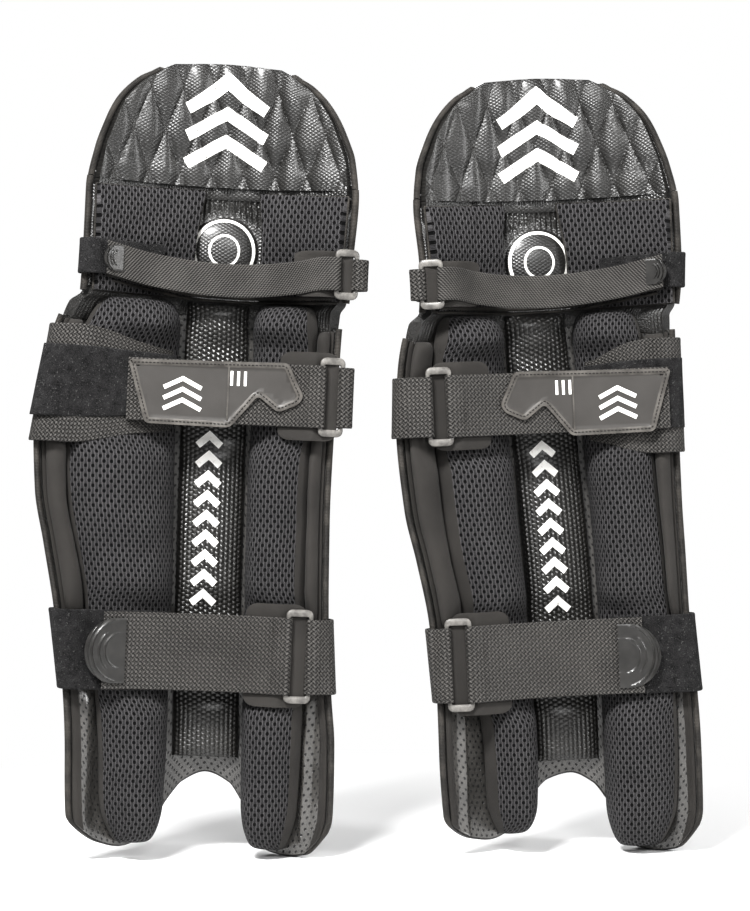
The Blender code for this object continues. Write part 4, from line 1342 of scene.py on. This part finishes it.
def ring(bars, strap):
    """A moulded ring: two round-edged side bars, with deeper, chamfered bars above and below."""
    (x0, y0), (x1, y1) = bars
    between = np.array((x1 - x0, y1 - y0, 0.0))
    half = np.linalg.norm(between) / 2
    between = unit(between)
    facing = np.cross(between, (0, 0, 1))
    low, high = strap[0] - 0.001 - ROD, strap[1] + 0.001 + ROD
    middle = np.array(((x0 + x1) / 2, (y0 + y1) / 2, (low + high) / 2))
    tall = (high - low) / 2
    outline = rounded([(-half, -tall), (half, -tall), (half, tall), (-half, tall)], 0.0045, 6)
    path = resampled(outline, 0.003, closed=True)
    ahead = unit(np.roll(path, -1, 0) - np.roll(path, 1, 0))
    out = np.stack((ahead[:, 1], -ahead[:, 0]), -1)
    deep = 0.0032 * np.clip(np.abs(out[:, 1]), 0, 1) ** 1.5
    corner = ((-1, -0.55), (-0.55, -1), (0.55, -1), (1, -0.55), (1, 0.55), (0.55, 1), (-0.55, 1), (-1, 0.55))
    rows = []
    for a, b in corner:
        reach = a * ROD * 0.95 + (deep if a > 0 else 0)
        spot = path + out * np.asarray(reach)[..., None]
        level = middle + spot[:, :1] * between + spot[:, 1:] * np.array((0, 0, 1.0))
        rows.append(level + facing * b * ROD * 0.9)
    points = np.stack(rows, 1)
    index = np.arange(points.shape[0] * 8).reshape(-1, 8)
    following = np.roll(index, -1, 0)
    faces = np.stack((index, np.roll(index, -1, 1), np.roll(following, -1, 1), following), -1).reshape(-1, 4)
    return outward(Shape(points, faces, points.reshape(-1, 3)[:, [0, 2]]))


def strap_stitches(path, span, sag):
    """Two rows of stitching across a strap, beside its ring."""
    place = on_strap(path, WEB / 2)
    drop = sag[8] if sag else 0.0
    shapes = []
    for x in (path[0][0] - 0.004, path[0][0] - 0.0065):
        z = np.linspace(span[0] + 0.002, span[1] - 0.002, 60) - drop
        line = place(np.full(60, x), z, 0.0)
        off = unit(place(np.full(60, x), z, 0.001) - line)
        shapes.append(stitches(line, off, pitch=0.0032, length=0.0024))
    return joined(shapes)


def ring_guard(bars, span, path, seed):
    """The soft lip of cloth behind a ring, showing above and below it."""
    reach = 0.5 * (span[1] - span[0]) + (0.0125 if span[1] - span[0] > 0.04 else 0.0060)
    low, high = bars[0][0] - 0.040, bars[1][0] - 0.004
    depth = track(sorted(tuple(p) for p in path + (bars[0],)))
    s, t = np.meshgrid(eased(30, 0.7), eased(40, 0.7))
    corner = np.clip((np.abs(2 * t - 1) - 0.80) / 0.20, 0, 1)
    inset_by = 0.012 * (1 - np.sqrt(1 - 0.98 * corner**2))
    x = low + inset_by + (high - low - 2 * inset_by) * s
    z = (span[0] + span[1]) / 2 + reach * (2 * t - 1)
    soft = dome(0.03 + 0.94 * s, 3.0) * dome(0.03 + 0.94 * t, 3.0)
    outside = smooth(np.abs(2 * t - 1) * reach, (span[1] - span[0]) / 2 - 0.001, reach)
    y = depth(x) + 0.0040 + 0.0008 * ripple(x, z, 0.03, seed) * outside
    thick = 0.0012 + 0.0018 * soft * (0.4 + 0.9 * outside)
    return slab(np.stack((x, y + thick, z), -1), np.stack((x, y - thick * 0.6, z), -1))


def on_strap(path, offset):
    """Puts (x, z, height) on the leg side of a strap, offset from its middle."""
    line = np.array(sorted(path))
    depth = track([tuple(p) for p in line])

    def place(x, z, h):
        slope = (depth(x + 0.0005) - depth(x - 0.0005)) / 0.001
        length = np.hypot(slope, 1)
        reach = offset + h
        return np.stack((x + reach * slope / length, depth(x) - reach / length, z + 0 * x), -1)

    return place


def tab(centre, along, middle, radius, body, offset, ridges):
    """A half-round moulded tab with raised arcs, sewn to a strap's free end."""
    direction = unit(np.array(along, float))
    rounded_end = radius * np.sin(np.linspace(0, np.pi / 2 * 0.985, 44))
    a = np.concatenate((np.linspace(-body, 0, 14)[:-1], rounded_end))
    b = np.linspace(-1, 1, 61)
    reach = np.where(a > 0, np.sqrt(np.clip(radius**2 - a**2, 0, None)), radius)
    a, b = np.meshgrid(a, b)
    spread = b * reach[None]
    distance = np.hypot(a + body * 0.6, spread) / (radius + body * 0.6)
    edge = np.minimum(radius - np.hypot(np.maximum(a, 0), spread), 0.003) / 0.003
    height = 0.0012 + 0.0004 * smooth(edge, 0, 0.5)
    for where, width, tall, span in ridges:
        ends = 1 - smooth(np.abs(spread) / radius, span, span + 0.08)
        height = height + tall * bump(distance, where, width) * ends
    facing = np.array((direction[1], -direction[0]))
    facing = -facing if facing[1] > 0 else facing
    x = centre[0] + direction[0] * a
    y = centre[1] + direction[1] * a
    z = middle + spread
    low = np.stack((x + facing[0] * offset, y + facing[1] * offset, z), -1)
    high = np.stack((x + facing[0] * (offset + height), y + facing[1] * (offset + height), z), -1)
    return slab(low, high)


# ---------------------------------------------------------------- putting pieces in the frame


def add(side, name, shape, body, materials, stands_for=()):
    """Makes an object from a shape and lets it ride on a body; given a tuple of bodies, it stays fixed in
    place.
    """
    matrix = np.array(GUARD[side])
    points = shape.points @ matrix[:3, :3].T + matrix[:3, 3]
    mesh = bpy.data.meshes.new(f"{side}_{name}")
    mesh.vertices.add(len(points))
    mesh.vertices.foreach_set("co", points.astype(np.float32).ravel())
    turned = np.linalg.det(matrix[:3, :3]) < 0
    loops = shape.turned().loops.copy() if turned else shape.loops
    mesh.loops.add(len(loops))
    mesh.loops.foreach_set("vertex_index", loops.astype(np.int32))
    mesh.polygons.add(len(shape.counts))
    starts = np.concatenate(([0], np.cumsum(shape.counts)[:-1]))
    mesh.polygons.foreach_set("loop_start", starts.astype(np.int32))
    mesh.polygons.foreach_set("material_index", shape.slots.astype(np.int32))
    mesh.update(calc_edges=True)
    layer = mesh.uv_layers.new(name="flat")
    layer.data.foreach_set("uv", shape.flat[loops].astype(np.float32).ravel())
    for material in materials:
        mesh.materials.append(MATERIALS[material])
    mesh.shade_smooth()
    mesh.set_sharp_from_angle(angle=math.radians(48))
    mesh.validate()
    piece = bpy.data.objects.new(f"{side}_{name}", mesh)
    bpy.context.scene.collection.objects.link(piece)
    if isinstance(body, tuple):
        lower, upper, start, stop = body
        ends = [GUARD[side] @ Vector((0, 0, z)) for z in (start, stop)]
        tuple(ends[0])
        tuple(ends[1])
        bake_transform(piece)
    else:
        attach(piece, f"{side}_{body}_body")
    if stands_for:
        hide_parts(*(f"{side}_{node}" for node in stands_for))
    return piece


def on_quilt(x, z, h):
    return across(x, z, quilt_height(x, z) + h)


def on_cup(x, z, h):
    return across(x, z, cup_height(x, z) + h)


def on_shin_bolster(x, z, h):
    return across(x, z, shin_bolster_height(x, z) + h)


def chevrons(middle, wide, tall, line, place):
    """A plain printed device: three upright chevrons."""
    x, z = middle
    rise = tall * 0.30
    shapes = []
    for k in (-1, 0, 1):
        low = z + k * tall * 0.34 - rise / 2
        shapes.append(stroke([(x - wide / 2, low), (x, low + rise), (x + wide / 2, low)], line, place))
    return joined(shapes)


def chevron_column(sway, low, high, count, wide, line, place):
    pitch = (high - low) / count
    shapes = []
    for k in range(count):
        z = low + pitch * (k + 0.5)
        x = sway[0] + (sway[1] - sway[0]) * k / (count - 1)
        arms = [(x - wide / 2, z - pitch * 0.30), (x, z + pitch * 0.22), (x + wide / 2, z - pitch * 0.30)]
        shapes.append(stroke(arms, line, place))
    return joined(shapes)


def target(place):
    """The knee's print: two plain rings, one inside the other."""
    shapes = []
    for radius, line in ((0.0300, 0.0030), (0.0150, 0.0024)):
        ring = [(CUP_MIDDLE[0] + x, CUP_MIDDLE[1] + z) for x, z in arc((0, 0), radius, 0, 352.5, 47)]
        shapes.append(stroke(ring, line, place, closed=True))
    return joined(shapes)


BADGE_OUTLINE = (
    (-0.0665, 0.4161),
    (0.0151, 0.4152),
    (0.0407, 0.4469),
    (0.0606, 0.4315),
    (0.0804, 0.4401),
    (0.0849, 0.4478),
    (0.0692, 0.4796),
    (-0.0844, 0.4767),
)
BADGE_SEAT = 0.0015


def on_badge(lift):
    """Puts points of the badge, given as on the left guard, on the calf strap's free end."""
    x, y = CALF_PATH[-1]
    sink = 0.0004 if BADGE_SHIFT == 0 else 0.0022
    place = on_strap(CALF_PATH + ((x - 0.016, y - sink),), BADGE_SEAT + lift)
    return lambda x, z, h: place(x + BADGE_SHIFT, z, h)


def calf_badge():
    place = on_badge(0.0)
    outline = resampled(rounded(BADGE_OUTLINE, 0.005, 4), 0.004, closed=True)
    levels = ((0, 0.0012), (0.0007, 0.0023), (0.0049, 0.0023), (0.0008, 0.0015))
    body = plate(outline, levels, place, slots=(1, 1, 1, 0))
    divide = stroke([(0.0120, 0.4215), (0.0120, 0.4738)], 0.0016, place, height=0.0022)
    return joined([body, divide.painted(1)])


def badge_stitches():
    place = on_badge(0.0)
    ring_line = resampled(rounded(inset(BADGE_OUTLINE, 0.0031), 0.0035, 4), 0.0015, closed=True)
    x, z = ring_line[:, 0], ring_line[:, 1]
    path = place(x, z, 0 * x + 0.0023)
    lift = place(x, z, 0 * x + 0.0033) - path
    return stitches(path, lift, pitch=0.0036, length=0.0026, thread=0.00048)


def inset(corners, distance):
    """A closed outline moved inwards; its corners run anticlockwise."""
    made = []
    count = len(corners)
    for i in range(count):
        before, here, after = (np.array(corners[(i + k) % count], float) for k in (-1, 0, 1))
        first, second = unit(here - before), unit(after - here)
        normal = np.array((-(first + second)[1], (first + second)[0]))
        normal = unit(normal)
        share = normal @ np.array((-first[1], first[0]))
        made.append(tuple(here + normal * distance / max(share, 0.3)))
    return made


def badge_print():
    """Three chevrons and three equal upright bars."""
    place = on_badge(0.0018)
    shapes = [chevrons((-0.0315, 0.4455), 0.036, 0.030, 0.0042, place)]
    for x in (0.0150, 0.0215, 0.0280):
        shapes.append(stroke([(x, 0.4555), (x, 0.4695)], 0.0026, place))
    return joined(shapes)


def rim_path():
    """Down the outer edge of the shin section, along its foot and up the inner edge."""
    n = -0.0026
    down = np.linspace(0.5155, 0.034, 150)
    outer = [seam(-1.0, z, n) for z in down[down > foot_edge(-1.0) + 0.004]]
    u = np.linspace(-0.995, 0.995, 170)
    lowest = [seam(v, float(foot_edge(v)) + 0.0037, n) for v in u]
    inner = [seam(1.0, z, n) for z in down[::-1][down[::-1] > foot_edge(1.0) + 0.004]]
    return np.array(outer + lowest + inner)


def line_on(u, z, n):
    """A path over the seam surface and the direction off it, for stitching."""
    path = seam(u, z, n)
    return path, unit(seam(u, z, n + 0.001) - path)


def seam_stitches():
    """The stitching of the shin section: down both borders, and down each valley of the front."""
    shapes = []
    for u in (-0.95, 0.95):
        z = np.linspace(float(foot_edge(u)) + 0.006, 0.512, 240)
        shapes.append(stitches(*line_on(u, z, GAP + LINING + 0.0006), pitch=0.0036))
    for k in (-2.5, -1.5, -0.5, 0.5, 1.5, 2.5):
        u = k * RIB_PITCH
        z = np.linspace(float(foot_edge(u)) + 0.016, float(shin_top_edge(u)) - 0.014, 200)
        path, lift = line_on(u, z, -(SHELL_VALLEY + 0.0002))
        shapes.append(stitches(path, -lift, pitch=0.0038))
    return joined(shapes)


def build(side, seed):
    """Every piece of one guard."""
    lay_out(side)
    shin_pieces(side, seed)
    knee_pieces(side, seed)
    top_pieces(side, seed)
    strap_pieces(side, seed)


def shin_pieces(side, seed):
    add(side, "front_shell", shin_shell(seed), "shin", ["plain_facing"], ["shin_shell"])
    lining_looks = ["perforated_facing", "stretch_cloth"]
    add(side, "perforated_lining", shin_lining(seed), "shin", lining_looks, ["shin_lining"])
    add(side, "centre_bolster", shin_bolster(), "shin", ["braided_facing"], ["shin_bolster"])
    bolster_looks = ["mesh_knit", "stretch_cloth"]
    outer, inner = calf_bolster(CALF_OUTER, -1, seed + 1), calf_bolster(CALF_INNER, 1, seed + 2)
    add(side, "outer_bolster", outer, "shin", bolster_looks, ["calf_bolster_outer"])
    add(side, "inner_bolster", inner, "shin", bolster_looks, ["calf_bolster_inner"])
    add(side, "outer_side_roll", side_roll(False, seed + 3), "shin", ["stretch_cloth"], ["side_roll_outer"])
    add(side, "inner_side_roll", side_roll(True, seed + 4), "shin", ["stretch_cloth"], ["side_roll_inner"])
    add(side, "shin_binding", tube(rim_path(), 0.0031, 10), "shin", ["binding_cloth"])
    add(side, "shin_stitching", seam_stitches(), "shin", ["thread"])
    sway = (-0.0025, -0.0025) if side == "left" else (0.0005, 0.0095)
    column = chevron_column(sway, 0.240, 0.413, 9, 0.0235, 0.0072, on_shin_bolster)
    add(side, "shin_print", column, "shin", ["white_ink"])
    low, high = lambda u: shin_top_edge(u) - 0.006, lambda u: knee_bottom_edge(u) + 0.005
    knee_fold = bridge(low, high, 0.0065, seed)
    add(side, "knee_gusset", knee_fold, ("shin", "knee", 0.5265, 0.5425), ["plain_facing"])


HEM = track([(-0.121, 0.5565), (-0.070, 0.5490), (-0.020, 0.5435), (0.040, 0.5425), (0.118, 0.5440)])


def hem_path(drop):
    """The bound lower edge of the knee section, sagging a little below its strap."""
    x = np.linspace(-0.1235, 0.1195, 120)
    z = HEM(x) - drop
    stand = 0.0125 + 0.0055 * smooth(np.abs(x - 0.005), 0.02, 0.06) - 0.009 * smooth(np.abs(x), 0.108, 0.1235)
    return across(x, z, stand - drop * 0.5)


def knee_pieces(side, seed):
    add(side, "knee_centre", knee_cup_panel(), "knee", ["quilted_facing"], ["knee_cup_panel"])
    add(side, "knee_print", target(on_cup), "knee", ["white_ink"])
    for name, node, low, high in (
        ("lower_roll", "knee_roll_lower", 0.5400, 0.5720),
        ("middle_roll", "knee_roll_middle", 0.5745, 0.6070),
        ("upper_roll", "knee_roll_upper", 0.6095, 0.6420),
    ):
        add(side, f"knee_{name}", knee_roll(low, high, seed + low * 50), "knee", ["plain_facing"], [node])
    for name, edges in (("outer", OUTER_WING), ("inner", INNER_WING)):
        wing = knee_wing(edges, seed + len(name))
        add(side, f"{name}_wing", wing, "knee", ["mesh_knit"], [f"knee_wing_{name}"])
        add(side, f"{name}_wing_binding", wing_binding(edges), "knee", ["binding_cloth"])
    z = np.linspace(0.5405, 0.6505, 90)
    for name, u in (("outer", -1.0), ("inner", 1.0)):
        path = [seam(u * 0.998, level, -0.0010) for level in z]
        add(side, f"knee_{name}_binding", tube(path, 0.0034, 10), "knee", ["binding_cloth"])
    for name, drop, radius in (("upper", 0.0, 0.0019), ("lower", 0.0042, 0.0016)):
        add(side, f"knee_{name}_hem", tube(hem_path(drop), radius, 8), "knee", ["binding_cloth"])
    top_fold = bridge(lambda u: KNEE_TOP - 0.004 + 0 * u, lambda u: 0.6555 + 0 * u, 0.0072, seed + 5)
    add(side, "top_gusset", top_fold, ("knee", "top", 0.6405, 0.6575), ["quilted_facing"])


def top_pieces(side, seed):
    add(side, "top_front", top_shell(seed), "top", ["plain_facing"], ["top_shell"])
    add(side, "top_quilt", top_lining(), "top", ["quilted_facing"], ["top_lining"])
    add(side, "quilt_stitching", quilt_stitches(), "top", ["thread"])
    add(side, "top_print", chevrons((0.001, 0.7095), 0.080, 0.078, 0.0115, on_quilt), "top", ["white_ink"])
    z = HEIGHT - (HEIGHT - 0.6515) * np.linspace(0, 1, 90) ** 1.5
    for name, u in (("outer", -1.0), ("inner", 1.0)):
        tuck = [seam(u * 0.84, 0.7560, -0.006), seam(u * 0.93, 0.7575, -0.004)]
        path = tuck + [seam(u * 0.995, level, -0.0012) for level in z[z < 0.7580]]
        add(side, f"top_{name}_binding", tube(path, 0.0032, 10), "top", ["binding_cloth"])


TAB_RIDGES = (
    (0.945, 0.040, 0.0018, 0.93),
    (0.82, 0.036, 0.0016, 0.90),
    (0.62, 0.034, 0.0014, 0.50),
    (0.47, 0.034, 0.0014, 0.50),
)


def strap_pieces(side, seed):
    rows = (
        ("knee", "knee", KNEE_BARS, KNEE_STRAP, KNEE_PATH, KNEE_SAG, ANCHOR_RISE, KNEE_WRAP, "twill"),
        ("calf", "shin", CALF_BARS, CALF_STRAP, CALF_PATH, None, CALF_RISE, SHELL_WRAP, "nylon"),
        ("ankle", "shin", ANKLE_BARS, ANKLE_STRAP, ANKLE_PATH, None, ANCHOR_RISE, SHELL_WRAP, "nylon"),
    )
    for name, home, bars, span, path, sag, rise, wrap, weave in rows:
        low, high = follow(strap_path(bars, path), span[0], span[1], sag)
        strap = ribbon(low, high, WEB, sway=0.0004)
        add(side, f"{name}_strap_webbing", strap, f"{name}_strap", [weave], [f"{name}_strap"])
        moulding = ring(bars, span)
        add(side, f"{name}_ring_moulding", moulding, f"{name}_ring", ["ring_plastic"], [f"{name}_ring"])
        low, high = anchor_edges(bars, span, rise, wrap)
        add(side, f"{name}_anchor_webbing", ribbon(low, high, WEB), home, ["nylon"], [f"{name}_ring_anchor"])
        add(side, f"{name}_strap_stitching", strap_stitches(path, span, sag), f"{name}_strap", ["thread"])
        add(side, f"{name}_ring_guard", ring_guard(bars, span, path, seed), home, ["stretch_cloth"])
    low, high = base_edges(KNEE_BASE, KNEE_BASE_SPANS, KNEE_WRAP)
    add(side, "knee_base_pile", ribbon(low, high, WEB), "knee", ["loop_pile"], ["knee_strap_base"])
    low, high = base_edges(CALF_BASE, CALF_BASE_SPANS, SHELL_WRAP)
    add(side, "calf_base_nylon", ribbon(low, high, WEB), "shin", ["nylon"], ["calf_strap_base"])
    low, high = base_edges(CALF_BASE, CALF_PILE_SPANS, SHELL_WRAP[:3])
    add(side, "calf_base_pile", ribbon(low, high, 0.0020, lift=0.0023, sway=0.0002), "shin", ["loop_pile"])
    low, high = base_edges(ANKLE_BASE, ANKLE_BASE_SPANS, SHELL_WRAP)
    add(side, "ankle_base_pile", ribbon(low, high, 0.0022), "shin", ["loop_pile"], ["ankle_strap_base"])
    badge_looks = ["moulded_rubber", "border_rubber"]
    add(side, "calf_badge_moulding", calf_badge(), "calf_strap", badge_looks, ["calf_badge"])
    add(side, "calf_badge_print", badge_print(), "calf_strap", ["white_ink"])
    add(side, "calf_badge_stitching", badge_stitches(), "calf_strap", ["thread"])
    knee_tab = tab((-0.1010, -0.0616), (-10, -6.0), 0.5715, 0.0125, 0.008, 0.0012, TAB_RIDGES)
    add(side, "knee_tab_moulding", knee_tab, "knee_strap", ["gloss_rubber"], ["knee_strap_tab"])
    ankle_tab = tab(*ANKLE_TAB, 0.1990, 0.0310, 0.010, 0.0012, TAB_RIDGES)
    add(side, "ankle_tab_moulding", ankle_tab, "ankle_strap", ["gloss_rubber"], ["ankle_strap_tab"])


for number, side_name in enumerate(SIDES):
    build(side_name, 0.7 + 2.9 * number)

# ---------------------------------------------------------------- floor, light and camera


def stage_material():
    """A pale floor that melts into the white background away from the object."""
    made = bpy.data.materials.new("floor")
    made.use_nodes = True
    tree = made.node_tree
    shader = tree.nodes["Principled BSDF"]
    shader.inputs["Base Color"].default_value = (0.90, 0.90, 0.90, 1)
    shader.inputs["Roughness"].default_value = 0.9
    shader.inputs["Specular IOR Level"].default_value = 0.1
    glow = tree.nodes.new("ShaderNodeEmission")
    glow.inputs["Color"].default_value = (1, 1, 1, 1)
    place = tree.nodes.new("ShaderNodeTexCoord")
    reach = tree.nodes.new("ShaderNodeVectorMath")
    reach.operation = "LENGTH"
    tree.links.new(place.outputs["Object"], reach.inputs[0])
    share = Signal(tree, reach.outputs["Value"]).ramp(0.25, 0.80)
    mix = tree.nodes.new("ShaderNodeMixShader")
    tree.links.new(share.socket, mix.inputs[0])
    tree.links.new(shader.outputs[0], mix.inputs[1])
    tree.links.new(glow.outputs[0], mix.inputs[2])
    tree.links.new(mix.outputs[0], tree.nodes["Material Output"].inputs["Surface"])
    return made


def floor():
    bpy.ops.mesh.primitive_plane_add(size=24, location=(0, 0, 0))
    plane = bpy.context.object
    plane.name = "floor"
    plane.data.materials.append(stage_material())


def softbox(name, place, target_point, size, power, colour=(1, 1, 1)):
    data = bpy.data.lights.new(name, "AREA")
    data.shape = "RECTANGLE"
    data.size, data.size_y = size
    data.energy = power
    data.color = colour
    lamp = bpy.data.objects.new(name, data)
    lamp.location = place
    lamp.rotation_euler = (Vector(target_point) - Vector(place)).to_track_quat("-Z", "Y").to_euler()
    bpy.context.scene.collection.objects.link(lamp)


def surroundings(seen, felt):
    """A white background for the camera, dimmer as a source of light."""
    world = bpy.data.worlds.new("studio")
    world.use_nodes = True
    tree = world.node_tree
    back = tree.nodes["Background"]
    back.inputs["Strength"].default_value = felt
    shown = tree.nodes.new("ShaderNodeBackground")
    shown.inputs["Strength"].default_value = seen
    mix = tree.nodes.new("ShaderNodeMixShader")
    path = tree.nodes.new("ShaderNodeLightPath")
    for node in (back, shown):
        node.inputs["Color"].default_value = (1, 1, 1, 1)
    tree.links.new(path.outputs["Is Camera Ray"], mix.inputs[0])
    tree.links.new(back.outputs[0], mix.inputs[1])
    tree.links.new(shown.outputs[0], mix.inputs[2])
    tree.links.new(mix.outputs[0], tree.nodes["World Output"].inputs["Surface"])
    bpy.context.scene.world = world


def camera(place, aim, lens):
    data = bpy.data.cameras.new("camera")
    data.lens = lens
    eye = bpy.data.objects.new("camera", data)
    eye.location = place
    eye.rotation_euler = (Vector(aim) - Vector(place)).to_track_quat("-Z", "Y").to_euler()
    bpy.context.scene.collection.objects.link(eye)
    bpy.context.scene.camera = eye


floor()
surroundings(1.0, 0.24)
softbox("key", (-1.0, -1.7, 2.3), (0, 0, 0.42), (0.8, 0.5), 165)
softbox("front", (0.30, -2.9, 1.45), (0, 0, 0.35), (0.9, 0.5), 34)
softbox("side", (2.1, -1.1, 1.0), (0, 0, 0.35), (0.5, 1.3), 34)
softbox("back", (0.3, 2.2, 2.0), (0, 0, 0.40), (2.0, 1.2), 60)
camera((-0.219, -2.221, 0.387), (0.006, 0, 0.392), 90.3)
bpy.context.scene.view_settings.view_transform = "Standard"
bpy.context.scene.view_settings.gamma = 0.78
